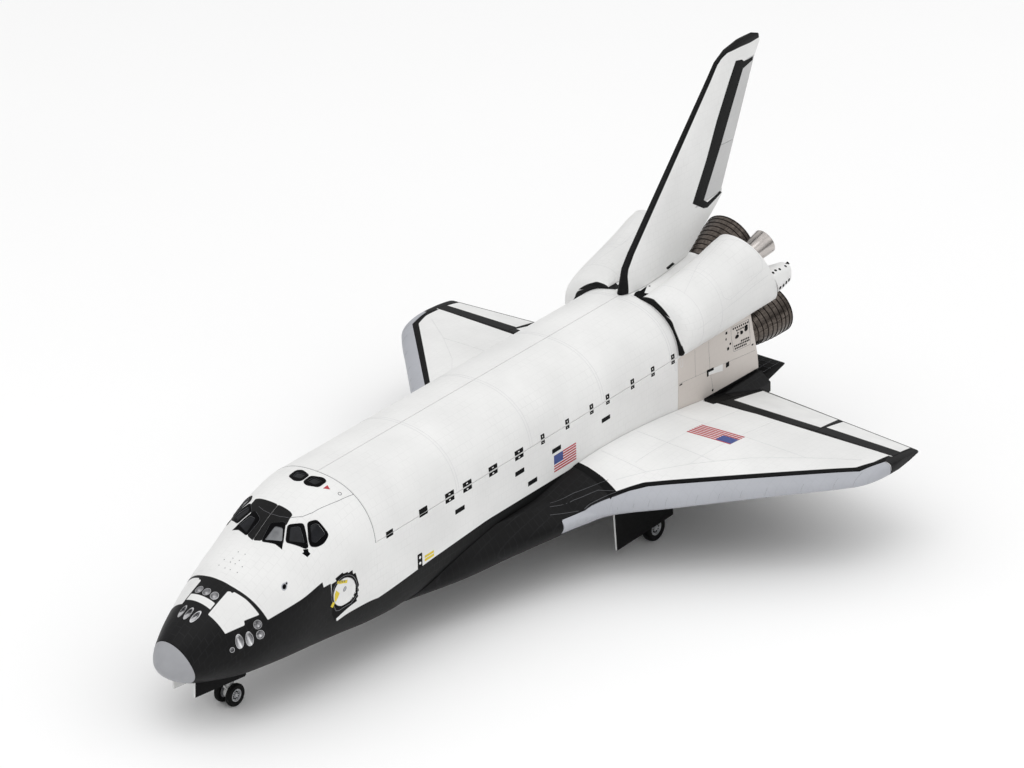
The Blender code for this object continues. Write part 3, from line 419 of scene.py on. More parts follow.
def cells_of(outline, step=4.0):
    """A flat outline as cells no larger than a step, so that they follow a curved skin."""
    bm = bmesh.new()
    bm.faces.new([bm.verts.new((a, b, 0.0)) for a, b in outline])
    corners = np.asarray(outline, float)
    for axis in (0, 1):
        low, high = corners[:, axis].min(), corners[:, axis].max()
        for level in np.linspace(low, high, int((high - low) / step) + 2)[1:-1]:
            spot, normal = Vector((0, 0, 0)), Vector((0, 0, 0))
            spot[axis], normal[axis] = level, 1.0
            bmesh.ops.bisect_plane(bm, geom=bm.verts[:] + bm.edges[:] + bm.faces[:], plane_co=spot, plane_no=normal)
    bm.verts.index_update()
    flat = np.array([vert.co[:2] for vert in bm.verts])
    faces = [[vert.index for vert in face.verts] for face in bm.faces]
    bm.free()
    return flat, faces


def quads(rows, count, closed=True):
    """The faces between rows of points, each row round and closed or not."""
    return [[row * count + k, row * count + (k + 1) % count, (row + 1) * count + (k + 1) % count,
             (row + 1) * count + k] for row in range(rows - 1) for k in range(count if closed else count - 1)]


def band_of(outer, inner, turns=72, step=4.0):
    """The cells between two flat outlines, one round the other, in rows no wider than a step."""
    outer, inner = np.asarray(outer, float), np.asarray(inner, float)
    centre = inner.mean(axis=0)
    lines = [outer - centre, inner - centre]
    angles = np.concatenate([np.arctan2(line[:, 1], line[:, 0]) for line in lines]
                            + [np.linspace(-math.pi, math.pi, turns, endpoint=False)])
    angles = np.unique(np.round(angles, 4)) + 1e-6
    towards = np.column_stack([np.cos(angles), np.sin(angles)])
    sides = []
    for line in lines:
        reach = np.full(len(angles), 1e9)
        for (ax, ay), (bx, by) in zip(line, np.roll(line, -1, axis=0)):
            turn = towards[:, 0] * (by - ay) - towards[:, 1] * (bx - ax)
            turn = np.where(np.abs(turn) < 1e-12, 1e-12, turn)
            far = (ax * (by - ay) - ay * (bx - ax)) / turn
            share = (ax * towards[:, 1] - ay * towards[:, 0]) / turn
            hit = (far > 0) & (share > -1e-6) & (share < 1 + 1e-6)
            reach = np.where(hit, np.minimum(reach, far), reach)
        sides.append(centre + reach[:, None] * towards)
    depth = max(1, math.ceil(np.linalg.norm(sides[1] - sides[0], axis=1).max() / step))
    flat = np.concatenate([sides[0] + (sides[1] - sides[0]) * row / depth for row in range(depth + 1)])
    return flat, quads(depth + 1, len(angles))


def ribbon_of(line, width, step=4.0):
    """Cells along a flat line."""
    line = [np.array(spot, float) for spot in line]
    spots = [line[0]]
    for first, second in zip(line, line[1:]):
        count = max(1, math.ceil(np.linalg.norm(second - first) / step))
        spots += [first + (second - first) * part / count for part in range(1, count + 1)]
    heading = np.gradient(np.array(spots), axis=0)
    heading /= np.linalg.norm(heading, axis=1)[:, None]
    out = np.column_stack([-heading[:, 1], heading[:, 0]]) * width / 2
    return np.concatenate([spots + out, spots - out]), quads(2, len(spots), closed=False)


def mirrored(cells):
    """Flat cells of the port side on both sides of the craft."""
    return [*cells, *sided(cells, -1)]


# Meshes

def laid(cells, surface, lift=0.15, sunk=0.5):
    """Flat cells as thin slabs on a skin."""
    points, faces, total = [], [], 0
    for flat, shapes in cells:
        count = len(flat)
        points += [surface(flat, lift), surface(flat, -sunk)]
        edges = {}
        for shape in shapes:
            faces += [[total + spot for spot in shape], [total + count + spot for spot in reversed(shape)]]
            for edge in zip(shape, shape[1:] + shape[:1]):
                if edge[::-1] in edges:
                    del edges[edge[::-1]]
                else:
                    edges[edge] = True
        faces += [(total + b, total + a, total + count + a, total + count + b) for a, b in edges]
        total += 2 * count
    return mesh_of("laid", np.concatenate(points), faces)


def mesh_of(name, points, faces):
    """A mesh from places in inches, with its faces turned outwards."""
    mesh = bpy.data.meshes.new(name)
    mesh.from_pydata(world(points).tolist(), [], faces)
    bm = bmesh.new()
    bm.from_mesh(mesh)
    bmesh.ops.recalc_face_normals(bm, faces=bm.faces)
    bm.to_mesh(mesh)
    bm.free()
    return mesh


def tube(name, rings):
    """A closed skin through rings of places, with flat ends."""
    rings = np.asarray(rings, float)
    rows, count = rings.shape[:2]
    ends = [list(range(count)), list(range((rows - 1) * count, rows * count))]
    return mesh_of(name, rings.reshape(-1, 3), quads(rows, count) + ends)


def prism(outline, plane, low, high):
    """An outline raised straight: plane "side" holds (station, height), "plan" (station, port) and
    "front" (port, height)."""
    spots = {"side": lambda a, b, c: (a, c, b), "plan": lambda a, b, c: (a, b, c),
             "front": lambda a, b, c: (c, a, b)}
    return tube("prism", [[spots[plane](a, b, level) for a, b in outline] for level in (low, high)])


def block(low, high):
    """A box between two corners."""
    (s0, p0, h0), (s1, p1, h1) = low, high
    return prism([(s0, p0), (s1, p0), (s1, p1), (s0, p1)], "plan", h0, h1)


def spun(centre, axis, profile, steps=48):
    """A profile of (distance along the axis, radius) turned about an axis through a place. It closes on
    the axis where its first and last radius are zero, and on itself otherwise."""
    along = Vector(axis).normalized()
    first = along.orthogonal().normalized()
    second = along.cross(first)
    points, faces, rows = [], [], []
    for reach, radius in profile:
        base = np.array(centre) + np.array(along) * reach
        if radius <= 0:
            rows.append([len(points)] * steps)
            points.append(base)
            continue
        rows.append(list(range(len(points), len(points) + steps)))
        for step in range(steps):
            turn = 2 * math.pi * step / steps
            points.append(base + np.array(first * (radius * math.cos(turn)) + second * (radius * math.sin(turn))))
    closing = [(rows[-1], rows[0])] if profile[0][1] > 0 else []
    for low, high in [*zip(rows, rows[1:]), *closing]:
        for step in range(steps):
            after = (step + 1) % steps
            face = tuple(dict.fromkeys([low[step], low[after], high[after], high[step]]))
            if len(face) > 2:
                faces.append(face)
    return mesh_of("spun", np.array(points), faces)


def rod(start, end, radius, steps=32):
    """A round bar between two places."""
    start, end = np.array(start, float), np.array(end, float)
    reach = np.linalg.norm(end - start)
    return spun(start, (end - start) / reach, [(0, 0), (0, radius), (reach, radius), (reach, 0)], steps)


def link(name, data):
    """A scene object of some data."""
    obj = bpy.data.objects.new(name, data)
    bpy.context.scene.collection.objects.link(obj)
    return obj


def baked(obj):
    """The object's evaluated mesh; the object goes."""
    graph = bpy.context.evaluated_depsgraph_get()
    graph.update()
    mesh = bpy.data.meshes.new_from_object(obj.evaluated_get(graph))
    bpy.data.objects.remove(obj, do_unlink=True)
    return mesh


def carved(mesh, *cuts, adding=(), within=()):
    """A mesh with others added, then with cutters taken away, then kept only within others."""
    body = link("body", mesh)
    tools = []
    for operation, cutters in (("UNION", adding), ("DIFFERENCE", cuts), ("INTERSECT", within)):
        for cutter in cutters:
            tools.append(link("tool", cutter))
            modifier = body.modifiers.new("cut", "BOOLEAN")
            modifier.solver = "EXACT"
            modifier.operation = operation
            modifier.object = tools[-1]
    result = baked(body)
    for tool in tools:
        bpy.data.objects.remove(tool, do_unlink=True)
    return result


def joined(*meshes):
    """Several meshes as one, side by side."""
    bm = bmesh.new()
    for mesh in meshes:
        bm.from_mesh(mesh)
    result = bpy.data.meshes.new("joined")
    bm.to_mesh(result)
    bm.free()
    return result


def rounded(mesh, width):
    """A mesh with its sharp edges bevelled."""
    body = link("body", mesh)
    bevel = body.modifiers.new("edges", "BEVEL")
    bevel.width = width * INCH
    bevel.segments = 2
    bevel.limit_method = "ANGLE"
    bevel.angle_limit = math.radians(40)
    return baked(body)


def merged_copy(node):
    """A CAD node's shape as a mesh of its own, its loose triangles merged."""
    mesh = frame["nodes"][node].data.copy()
    bm = bmesh.new()
    bm.from_mesh(mesh)
    bmesh.ops.remove_doubles(bm, verts=bm.verts, dist=1e-6)
    bmesh.ops.dissolve_limit(bm, angle_limit=math.radians(0.5), verts=bm.verts, edges=bm.edges)
    bm.to_mesh(mesh)
    bm.free()
    mesh.materials.clear()
    return mesh


def store(mesh, fields):
    """Fields of one number, or three, per vertex, kept as attributes that the paints read."""
    for name, values in fields.items():
        values = np.asarray(values, np.float32)
        kind, key = ("FLOAT", "value") if values.ndim == 1 else ("FLOAT_VECTOR", "vector")
        mesh.attributes.new(name, kind, "POINT").data.foreach_set(key, values.ravel())


def add_piece(name, mesh, finish=None, *nodes, slot=None, body="airframe", sharp=35, fields=None):
    """A finished piece: its finish, or else its mesh's own, its body and the nodes that it stands for. Fields is
    the function that gives the paint's fields."""
    finish = finish or mesh.materials[-1].name
    mesh.name = name
    mesh.materials.clear()
    mesh.materials.append(finish_of(finish))
    mesh.shade_smooth()
    mesh.set_sharp_from_angle(angle=math.radians(sharp))
    if fields:
        store(mesh, fields(mesh))
    obj = link(name, mesh)
    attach(obj, body)
    slot or FINISHES[finish][0]
    if nodes:
        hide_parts(*nodes)


def tree_of(name, inputs, build):
    """A geometry tree with named inputs: what is built from them, as real geometry with its material."""
    tree = bpy.data.node_groups.new(name, "GeometryNodeTree")
    for label, kind, default in (("Geometry", "Geometry", None), *inputs, ("Material", "Material", None)):
        socket = tree.interface.new_socket(label, in_out="INPUT", socket_type="NodeSocket" + kind)
        if default is not None:
            socket.default_value = default
    tree.interface.new_socket("Geometry", in_out="OUTPUT", socket_type="NodeSocketGeometry")
    given = tree.nodes.new("NodeGroupInput").outputs
    real = add_node(tree, "GeometryNodeRealizeInstances", {"Geometry": build(tree, given)}, out=0)
    done = add_node(tree, "GeometryNodeSetMaterial", {"Geometry": real, "Material": given["Material"]}, out=0)
    add_node(tree, "NodeGroupOutput", {"Geometry": done})
    return tree


def piping_nodes(tree, given):
    """Round tubes along the edges of a mesh."""
    curve = add_node(tree, "GeometryNodeMeshToCurve", {"Mesh": given["Geometry"]}, out=0)
    profile = add_node(tree, "GeometryNodeCurvePrimitiveCircle",
                       {"Radius": given["Radius"], "Resolution": given["Sides"]}, out=0)
    return add_node(tree, "GeometryNodeCurveToMesh",
                    {"Curve": curve, "Profile Curve": profile, "Fill Caps": True}, out=0)


def stud_nodes(tree, given):
    """A low round stud on each point, standing along its facing."""
    stud = add_node(tree, "GeometryNodeMeshCone", {
        "Vertices": given["Sides"], "Radius Top": given["Radius"], "Radius Bottom": given["Radius"],
        "Depth": given["Depth"]}, out=0)
    heading = add_node(tree, "GeometryNodeInputNamedAttribute", {"Name": "facing"}, out=0,
                       data_type="FLOAT_VECTOR")
    turn = add_node(tree, "FunctionNodeAlignRotationToVector", {"Vector": heading}, out=0, axis="Z")
    return add_node(tree, "GeometryNodeInstanceOnPoints",
                    {"Points": given["Geometry"], "Instance": stud, "Rotation": turn}, out=0)


def row_nodes(tree, given):
    """Copies of a piece at an even pitch."""
    line = add_node(tree, "GeometryNodeMeshLine", {"Count": given["Count"], "Offset": given["Pitch"]}, out=0)
    return add_node(tree, "GeometryNodeInstanceOnPoints", {"Points": line, "Instance": given["Geometry"]}, out=0)


# Hull skins

def stations(front, rear, step):
    """Even stations, about a step apart."""
    return np.linspace(front, rear, max(2, int(round((rear - front) / step)) + 1))


def hull_tube(rows, inset=0.0, ring=RING):
    """The fuselage's closed skin through rows of stations."""
    angles = np.arange(ring) * 2 * math.pi / ring
    return tube("hull", hull(rows[:, None], angles[None, :], inset))


def hull_solid(front, rear, step=4.0, inset=0.0, ring=RING):
    """The fuselage's closed skin between two stations."""
    return hull_tube(stations(front, rear, step), inset, ring)


def cap_line(shift):
    """The nose cap's leaning joint, on the centre plane, well past the skin at both ends."""
    (top_station, top), (low_station, low) = (259.0, 372.0), (276.0, 300.0)
    lean = (low_station - top_station) / (top - low)
    return [(top_station - 60 * lean + shift, top + 60), (low_station + 60 * lean + shift, low - 60)]


# Paint outlines, as hull places on the port side
WINDOW_FRAMES = [[(468.8, 9.9, 469.1), (479.2, 29.4, 472.3), (456, 43.6, 454.1), (451.5, 40.3, 452.5),
    (443.2, 14.1, 453.1)], [(477.8, 34.2, 470.3), (492.8, 50.7, 471.4), (476.2, 72.5, 447.8),
    (471.8, 70.4, 447.2), (459, 46.1, 455)], [(497.2, 53.9, 472), (509.2, 61.3, 473.1), (510.5, 81.3, 455),
    (498, 82.6, 447.4), (486.8, 79.1, 446), (480, 74.1, 448.2), (482.2, 68.6, 454.5)]]
BROW_PANEL = [(497.2, 0, 481.8), (497, 8, 481.6), (496.4, 16, 481.3), (495.4, 25, 480.7),
    (493.2, 30.5, 478.6), (486.7, 30.8, 475.4), (477.4, 32.7, 470), (443.3, 12, 453), (439.8, 0, 451)]
BROW_FAR = [(497.2, 0, 481.8), (498.8, -22.2, 482.6), (500.3, -38, 479.4), (500, -46.5, 476.3),
    (488, -47.5, 470.6), (477.4, -35, 469.4), (443.3, -12, 453), (439.8, 0, 451)]
SIDE_TILES = [(378, 78.7, 378.3), (475.2, 96.9, 400), (475.5, 98.2, 391.4), (489.2, 99.5, 392.1),
    (489, 99.5, 372), (492, 99.5, 352), (501, 95.4, 323)]
SIDE_LINE = [(582.8, 103.9, 326), (702, 105.5, 335.5), (829.5, 105.7, 342.7), (937.5, 105.7, 341.4),
    (1051.5, 105.6, 340.1), (1062, 106, 300)]
REAR_LINE = [(1050, 106, 300), (1378.5, 106, 300), (1379, 106, 312.6), (1540, 106, 303.6)]
MODULE_PATCH = [(357.5, 25.5, 415.9), (360, 29, 415.9), (359.3, 32, 414.2), (362.5, 33, 415.2),
    (367, 50.5, 407.2), (371, 70.5, 387.6), (349, 61, 385), (347.5, 63.7, 379.6), (319.5, 52.2, 375.2),
    (318, 40, 388.8), (316.5, 24.5, 397.8)]
MODULE_BAR = [(323.5, -22.8), (334, -22.8), (334, 22.8), (323.5, 22.8)]
MODULE_REAR = [(366, 0, 422.6), (366.5, 23, 420.5), (368, 35, 416.9), (372, 54, 407.4), (376, 70, 392.4),
    (379, 79, 378.1)]
ROOF_FRAME = [(549.8, 1.6, 498), (566.2, 1.6, 499.8), (573, 19.7, 499), (569.2, 28.5, 497.6),
    (552, 28.5, 496.6), (545.2, 11.3, 497.4)]
HATCH_TILES = [(490.5, 390.1), (500.2, 391.2), (498.8, 395.7), (513, 399.3), (515.2, 396.5), (522.8, 396.2),
    (524.2, 393.6), (532.5, 394.8), (534, 387.5), (537.8, 388.2), (543.8, 365.6), (541.5, 362.5), (543, 357),
    (540, 354.6), (541.5, 347.7), (537.8, 344.8), (539.2, 340.8), (498, 328.6), (496, 326), (490, 340),
    (489, 372)]


def hull_black(places):
    """Signed distance to the black tiles of the fuselage, negative inside them."""
    flat = chart(places)
    port = flat * np.where(flat[:, 1:] < 0, [1.0, -1.0], [1.0, 1.0])
    front = outside(port, [(200, -5), (366, -5), *on_skin(MODULE_REAR).tolist(), (379, 300), (200, 300)])
    white = np.minimum(np.minimum(outside(port, on_skin(MODULE_PATCH)), 30.0), outside(flat, at_port(MODULE_BAR)))
    module = np.maximum(front, -white)
    sides = [outside(port, [(378, 400), *on_skin(line + SIDE_LINE).tolist(), (1062, 400)])
             for line in (SIDE_TILES, SIDE_TILES[:2] + SIDE_TILES[4:5] + SIDE_TILES[6:])]
    side = np.where(places[:, 1] > 0, *sides)
    low_rear = outside(port, [*on_skin(REAR_LINE).tolist(), (1700, 400), (1050, 400)])
    brow = np.minimum(outside(flat, on_skin(BROW_PANEL)), outside(flat, on_skin(BROW_FAR)))
    return np.minimum.reduce([module, side, low_rear, brow])


def painted(flat, black=None, warm=None):
    """The fields that the skin paint reads: distances to black and to warm grey, and the unrolled skin."""
    far = np.full(len(flat), 30.0)
    return {"black": far if black is None else black, "warm": far if warm is None else warm,
            "skin": np.column_stack([flat, np.zeros(len(flat))])}


def hull_fields(mesh):
    """The fuselage's paint, and its unrolled skin for the tile joints."""
    places = places_of(mesh)
    flat = chart(places)
    port = flat * np.where(flat[:, 1:] < 0, [1.0, -1.0], [1.0, 1.0])
    sill = at_height([(1400, 415.5)])[0][1]
    warm = outside(port, [(1306.5, sill), (1700, sill), (1700, 420), (1306.5, 420)])
    return painted(flat, hull_black(places), warm)


def hatch_fields(mesh):
    """The hatch's paint: the fuselage's, without black."""
    return {**hull_fields(mesh), "black": np.full(len(mesh.vertices), 30.0)}


# Paints and other finishes

def linear(code):
    """An sRGB hex colour as linear red, green, blue and alpha."""
    parts = [int(code[start:start + 2], 16) / 255 for start in (1, 3, 5)]
    return (*[part / 12.92 if part <= 0.04045 else ((part + 0.055) / 1.055) ** 2.4 for part in parts], 1.0)


def paint(name, description, code):
    """A panel entry for a colour."""
    return bpy.props.FloatVectorProperty(name=name, description=description, default=linear(code)[:3],
                                         min=0.0, max=1.0, subtype="COLOR")


def length(name, description, inches):
    """A panel entry for a length."""
    return bpy.props.FloatProperty(name=name, description=description, default=inches * INCH, min=0.0,
                                   subtype="DISTANCE", unit="LENGTH", precision=5)


class SHUTTLE_PG_paints(bpy.types.PropertyGroup):
    """Colours of the model's paints."""
    white: paint("White", "Upper fuselage, wings, fin and pods", "#ededec")
    warm_grey: paint("Warm grey", "Sides of the aft fuselage", "#d6cfc9")
    black: paint("Black", "Tiles of the belly and the nose", "#0b0b0c")
    deep_black: paint("Deep black", "Window frames, seals and vents", "#040405")
    nose_grey: paint("Nose grey", "Nose cap", "#a2a3a7")
    edge_grey: paint("Edge grey", "Leading edges of the wings", "#b4b6bc")
    rudder_grey: paint("Rudder grey", "Rudder panels", "#cbcbcb")
    wash_grey: paint("Line grey", "Wash in the panel lines", "#77787b")
    faint_grey: paint("Faint grey", "Joints within white skins", "#dbdbdc")
    line_grey: paint("Outline grey", "Fine outlines on black", "#56575a")
    bell_brown: paint("Bell brown", "Hoops and shade of the main engine bells", "#1f1b19")
    # The bells' streaks in this colour are partly painted highlight streaks
    bell_bright: paint("Bell bright", "Burnished main engine bells", "#6b635d")
    steel: paint("Steel", "Orbital engine bells", "#c8c2be")
    silver: paint("Silver", "Wheel hubs and bay radiators", "#d2d3d6")
    cup: paint("Cup metal", "Thruster cups", "#c3c3c5")
    rubber: paint("Rubber", "Tyres", "#0b0b0b")
    cabin_grey: paint("Cabin grey", "Flight deck and bay fittings", "#6b6e72")
    smoke: paint("Smoke", "Window panes", "#101114")
    # A light grey pane colour: a painted reflection of the studio in the front pane
    haze: paint("Haze", "Window pane that mirrors the studio", "#8d8f92")
    red: paint("Red", "Stripes and signal marks", "#b5343f")
    blue: paint("Blue", "Corner fields of the striped panels", "#43538f")
    yellow: paint("Yellow", "Signal marks by the hatch", "#e2cb3c")
    paper: paint("Paper", "Floor of the studio", "#fdfdfd")


class SHUTTLE_PG_sizes(bpy.types.PropertyGroup):
    """Sizes of the fine details, on the model."""
    tile: length("Tile", "Side of a group of heat tiles", 12.0)
    seam: length("Panel line", "Width of a panel line", 0.7)
    mark: length("Mark", "Thickness of a painted mark above the skin", 0.12)
    frame: length("Window frame", "How far the window frames stand proud", 0.7)
    hoop: length("Hoop", "Radius of the hoops round a main engine bell", 0.9)
    hose: length("Hose", "Radius of the hoses on the legs", 0.6)


def sizes(name):
    """A fine detail's size in inches of the full-size craft."""
    return getattr(bpy.context.scene.shuttle_sizes, name) / INCH


def shade(name, share=1.0):
    """A paint's colour, darker or lighter by a share."""
    return (*[min(1.0, part * share) for part in getattr(bpy.context.scene.shuttle_paints, name)], 1.0)


def add_node(tree, kind, inputs=None, out=None, **settings):
    """A node with its settings; an input is a value or a socket. Gives the node, or one of its outputs."""
    node = tree.nodes.new(kind)
    for key, value in settings.items():
        setattr(node, key, value)
    for key, value in (inputs or {}).items():
        if isinstance(value, bpy.types.NodeSocket):
            tree.links.new(value, node.inputs[key])
        else:
            node.inputs[key].default_value = value
    return node if out is None else node.outputs[out]


def grained(tree, size, low, high, detail=3.0, stretch=(1.0, 1.0, 1.0)):
    """Fine noise on Object coordinates between two values; its grain is about a size in metres."""
    place = add_node(tree, "ShaderNodeTexCoord", out="Object")
    place = add_node(tree, "ShaderNodeMapping", {"Vector": place, "Scale": stretch}, out=0)
    noise = add_node(tree, "ShaderNodeTexNoise", {"Vector": place, "Scale": 1 / size, "Detail": detail}, out=0)
    return add_node(tree, "ShaderNodeMapRange", {"Value": noise, "From Min": 0.3, "From Max": 0.7,
                                                 "To Min": low, "To Max": high}, out=0)


def new_material(name):
    """A material with its tree and its shader."""
    material = bpy.data.materials.new(name)
    material.use_nodes = True
    return material, material.node_tree, material.node_tree.nodes["Principled BSDF"]


def wire(tree, shader, colour, rough, height, depth):
    """Links colour, roughness and a relief of a depth in metres to the shader."""
    bump = add_node(tree, "ShaderNodeBump", {"Height": height, "Strength": 0.3, "Distance": depth}, out=0)
    for key, socket in (("Base Color", colour), ("Roughness", rough), ("Normal", bump)):
        tree.links.new(socket, shader.inputs[key])


def skin_paint(name, white):
    """Satin paint with a soft mottle and fine tile joints, over warm grey fields and matt black tiled ones."""
    material, tree, shader = new_material(name)
    tile = sizes("tile")
    skin = add_node(tree, "ShaderNodeAttribute", attribute_name="skin", out="Vector")
    skin = add_node(tree, "ShaderNodeVectorMath", {0: skin, 1: (0.0, tile / 2, 0.0)}, out=0, operation="ADD")
    joint = add_node(tree, "ShaderNodeTexBrick", {
        "Vector": skin, "Scale": 1 / tile, "Mortar Size": 0.05, "Mortar Smooth": 0.3, "Brick Width": 1.0,
        "Row Height": 1.0}, out="Fac", offset=0.5)
    joint = add_node(tree, "ShaderNodeMath", {0: joint, 1: grained(tree, 0.012, 0.05, 1.0, 2.0)}, out=0,
                     operation="MULTIPLY")
    warm, black = [add_node(tree, "ShaderNodeMapRange", {
        "Value": add_node(tree, "ShaderNodeAttribute", attribute_name=field, out="Fac"),
        "From Min": 0.3, "From Max": -0.3}, out=0) for field in ("warm", "black")]
    mottle = grained(tree, 0.035, 0.0, 1.0, 6.0)
    colour = None
    for mask, base, low, high, line, share in ((None, white, 1.0, 0.9, 0.45, 0.11),
                                               (warm, "warm_grey", 1.0, 0.93, 0.5, 0.08),
                                               (black, "black", 0.6, 1.7, 8.0, 0.34)):
        drawn = add_node(tree, "ShaderNodeMath", {0: joint, 1: share}, out=0, operation="MULTIPLY")
        layers = [(mottle, shade(base, low), shade(base, high)), (drawn, None, shade(base, line))]
        if mask:
            layers.append((mask, colour, None))
        tone = None
        for factor, first, second in layers:
            first, second = [tone if part is None else part for part in (first, second)]
            tone = add_node(tree, "ShaderNodeMix", {"Factor": factor, 6: first, 7: second}, out=2,
                            data_type="RGBA")
        colour = tone
    height = add_node(tree, "ShaderNodeMath", {0: joint, 1: -0.6, 2: grained(tree, 0.0004, 0.0, 0.25)}, out=0,
                      operation="MULTIPLY_ADD")
    rough = add_node(tree, "ShaderNodeMapRange", {"Value": black, "To Min": 0.46, "To Max": 0.5}, out=0)
    wire(tree, shader, colour, rough, height, 0.00008)
    shader.inputs["IOR"].default_value = 1.32
    shader.inputs["Specular IOR Level"].default_value = 0.35
    return material


def plain_paint(name, colour, roughness, grain, vary, metallic=0.0, stretch=(1.0, 1.0, 1.0), ior=1.4,
                depth=0.00003, gloss=0.5):
    """Paint of two tones, patchy at the size of its grain, over a sprayed surface."""
    material, tree, shader = new_material(name)
    tint = add_node(tree, "ShaderNodeMix", {
        "Factor": grained(tree, grain, 0.0, 1.0, 4.0, stretch), 6: shade(colour), 7: shade(colour, vary)},
        out=2, data_type="RGBA")
    rough = grained(tree, grain * 0.6, roughness - 0.05, roughness + 0.05, 3.0, stretch)
    wire(tree, shader, tint, rough, grained(tree, 0.00035, 0.0, 1.0), depth)
    shader.inputs["Metallic"].default_value = metallic
    shader.inputs["Specular IOR Level"].default_value = gloss
    if metallic < 0.5:
        shader.inputs["IOR"].default_value = ior
    return material


# Grain drawn out along a bell
STREAKED = (1, 0.04, 1)

# Finishes: a slot name, and the colour; painted skins read the rest from their mesh, and the others have a
# roughness, the size of the grain in metres, the second tone and the rest
FINISHES = {
    # Satin acrylic sprayed on styrene: an even, slightly mottled off-white, black where tiles are painted
    "satin_acrylic_skin": ("white_satin", "white"),
    # The same acrylic in the light grey of the wings' leading edges
    "edge_acrylic_skin": ("pale_grey", "edge_grey"),
    # The same acrylic in the grey of the rudder
    "grey_acrylic_skin": ("pale_grey", "rudder_grey"),
    # Matt grey acrylic: soft light, no clear reflections
    "matt_grey_acrylic": ("pale_grey", "nose_grey", 0.6, 0.006, 0.93, {}),
    # Satin light grey acrylic, sprayed evenly
    "satin_grey_acrylic": ("pale_grey", "edge_grey", 0.5, 0.006, 0.93, {}),
    # Satin white acrylic, sprayed evenly
    "satin_white_acrylic": ("white_satin", "white", 0.45, 0.01, 0.93, {}),
    # Matt black acrylic: dull, a little uneven where it is rubbed
    "matt_black_acrylic": ("tile_black", "black", 0.55, 0.002, 0.5, dict(ior=1.3, gloss=0.22)),
    # Black enamel round the windows and on the vents: the darkest, with a slight shine; where it stands for holes
    # it is painted shade in them
    "black_enamel": ("tile_black", "deep_black", 0.4, 0.002, 2.0, dict(ior=1.25, gloss=0.12)),
    # Thinned grey enamel run into the panel lines: flat, a little uneven
    "panel_line_wash": ("stone_grey", "wash_grey", 0.7, 0.004, 0.8, {}),
    # The same wash, wiped off until it only just shows
    "faint_line_wash": ("stone_grey", "faint_grey", 0.6, 0.004, 0.93, {}),
    # Dark grey enamel drawn in fine lines with a pen
    "outline_enamel": ("pale_grey", "line_grey", 0.6, 0.004, 0.85, {}),
    # Mid grey enamel for the rings on the hatch
    "ring_enamel": ("pale_grey", "wash_grey", 0.6, 0.004, 0.85, {}),
    # Burnt metal lacquer over styrene, streaked lighter and darker along the bell: partly the metal's uneven tone,
    # partly painted highlight streaks
    "burnt_metal_lacquer": ("nozzle_metal", "bell_bright", 0.24, 0.0012, 0.4, dict(metallic=1.0, stretch=STREAKED)),
    # Dark metal lacquer for the hoops, brighter in patches
    "dark_metal_lacquer": ("nozzle_metal", "bell_brown", 0.4, 0.003, 2.0, dict(metallic=1.0)),
    # Bright metal lacquer in the thruster cups
    "cup_lacquer": ("bell_steel", "cup", 0.3, 0.004, 0.8, dict(metallic=1.0)),
    # Steel lacquer, polished, streaked along the bell
    "steel_lacquer": ("bell_steel", "steel", 0.18, 0.002, 0.8, dict(metallic=1.0, stretch=STREAKED)),
    # Silver lacquer with fine flakes, half dull
    "silver_lacquer": ("gear_silver", "silver", 0.34, 0.002, 0.85, dict(metallic=0.8)),
    # Moulded rubber: dark, dull, a fine sheen on the shoulders
    "moulded_rubber": ("tyre_rubber", "rubber", 0.6, 0.001, 1.5, dict(ior=1.3, gloss=0.3)),
    # Matt grey acrylic brushed on inside the cabin
    "cabin_acrylic": ("cabin_grey", "cabin_grey", 0.6, 0.002, 0.8, {}),
    # Clear styrene tinted dark: smooth, so it mirrors the studio faintly
    "smoked_styrene": ("smoked_clear", "smoke", 0.12, 0.004, 2.5, dict(gloss=0.2, depth=0.000002)),
    # Clear styrene in light grey: a painted reflection of the bright studio
    "bright_styrene": ("smoked_clear", "haze", 0.15, 0.01, 0.45, dict(ior=1.45, depth=0.000002)),
    # Printed film in signal red, in blue and in signal yellow
    "red_print": ("tile_black", "red", 0.5, 0.003, 0.88, {}),
    "blue_print": ("tile_black", "blue", 0.5, 0.003, 0.88, {}),
    "yellow_print": ("stone_grey", "yellow", 0.5, 0.003, 0.88, {}),
    # Plain white paper, matt, for the floor
    "floor_paper": (None, "paper", 0.85, 0.4, 0.99, {}),
}


def finish_of(name):
    """The named finish, made once."""
    _, colour, *looks = FINISHES[name]
    made = bpy.data.materials.get(name)
    return made or (plain_paint(name, colour, *looks[:3], **looks[3]) if looks else skin_paint(name, colour))


TREES = {"piping": (piping_nodes, [("Radius", "Float", 0.0003), ("Sides", "Int", 8)]),
         "studs": (stud_nodes, [("Radius", "Float", 0.0004), ("Depth", "Float", 0.0003), ("Sides", "Int", 12)]),
         "row": (row_nodes, [("Count", "Int", 5), ("Pitch", "Vector", (0.0, 0.01, 0.0))])}


def repeated(kind, mesh, finish, **values):
    """A mesh run through a geometry tree, as a plain mesh of its own."""
    build, inputs = TREES[kind]
    tree = bpy.data.node_groups.get(kind) or tree_of(kind, inputs, build)
    source = link("source", mesh)
    modifier = source.modifiers.new("repeat", "NODES")
    modifier.node_group = tree
    values["Material"] = finish_of(finish)
    for socket in tree.interface.items_tree:
        if socket.in_out == "INPUT" and socket.name in values:
            modifier[socket.identifier] = values[socket.name]
    return baked(source)


def line_mesh(*lines, closed=False):
    """Bare edges along lines of places."""
    points, edges = [], []
    for line in lines:
        start = len(points)
        points += [tuple(spot) for spot in world(np.array(line, float))]
        edges += [(k, k + 1) for k in range(start, len(points) - 1)]
        if closed:
            edges.append((len(points) - 1, start))
    mesh = bpy.data.meshes.new("line")
    mesh.from_pydata(points, edges, [])
    return mesh


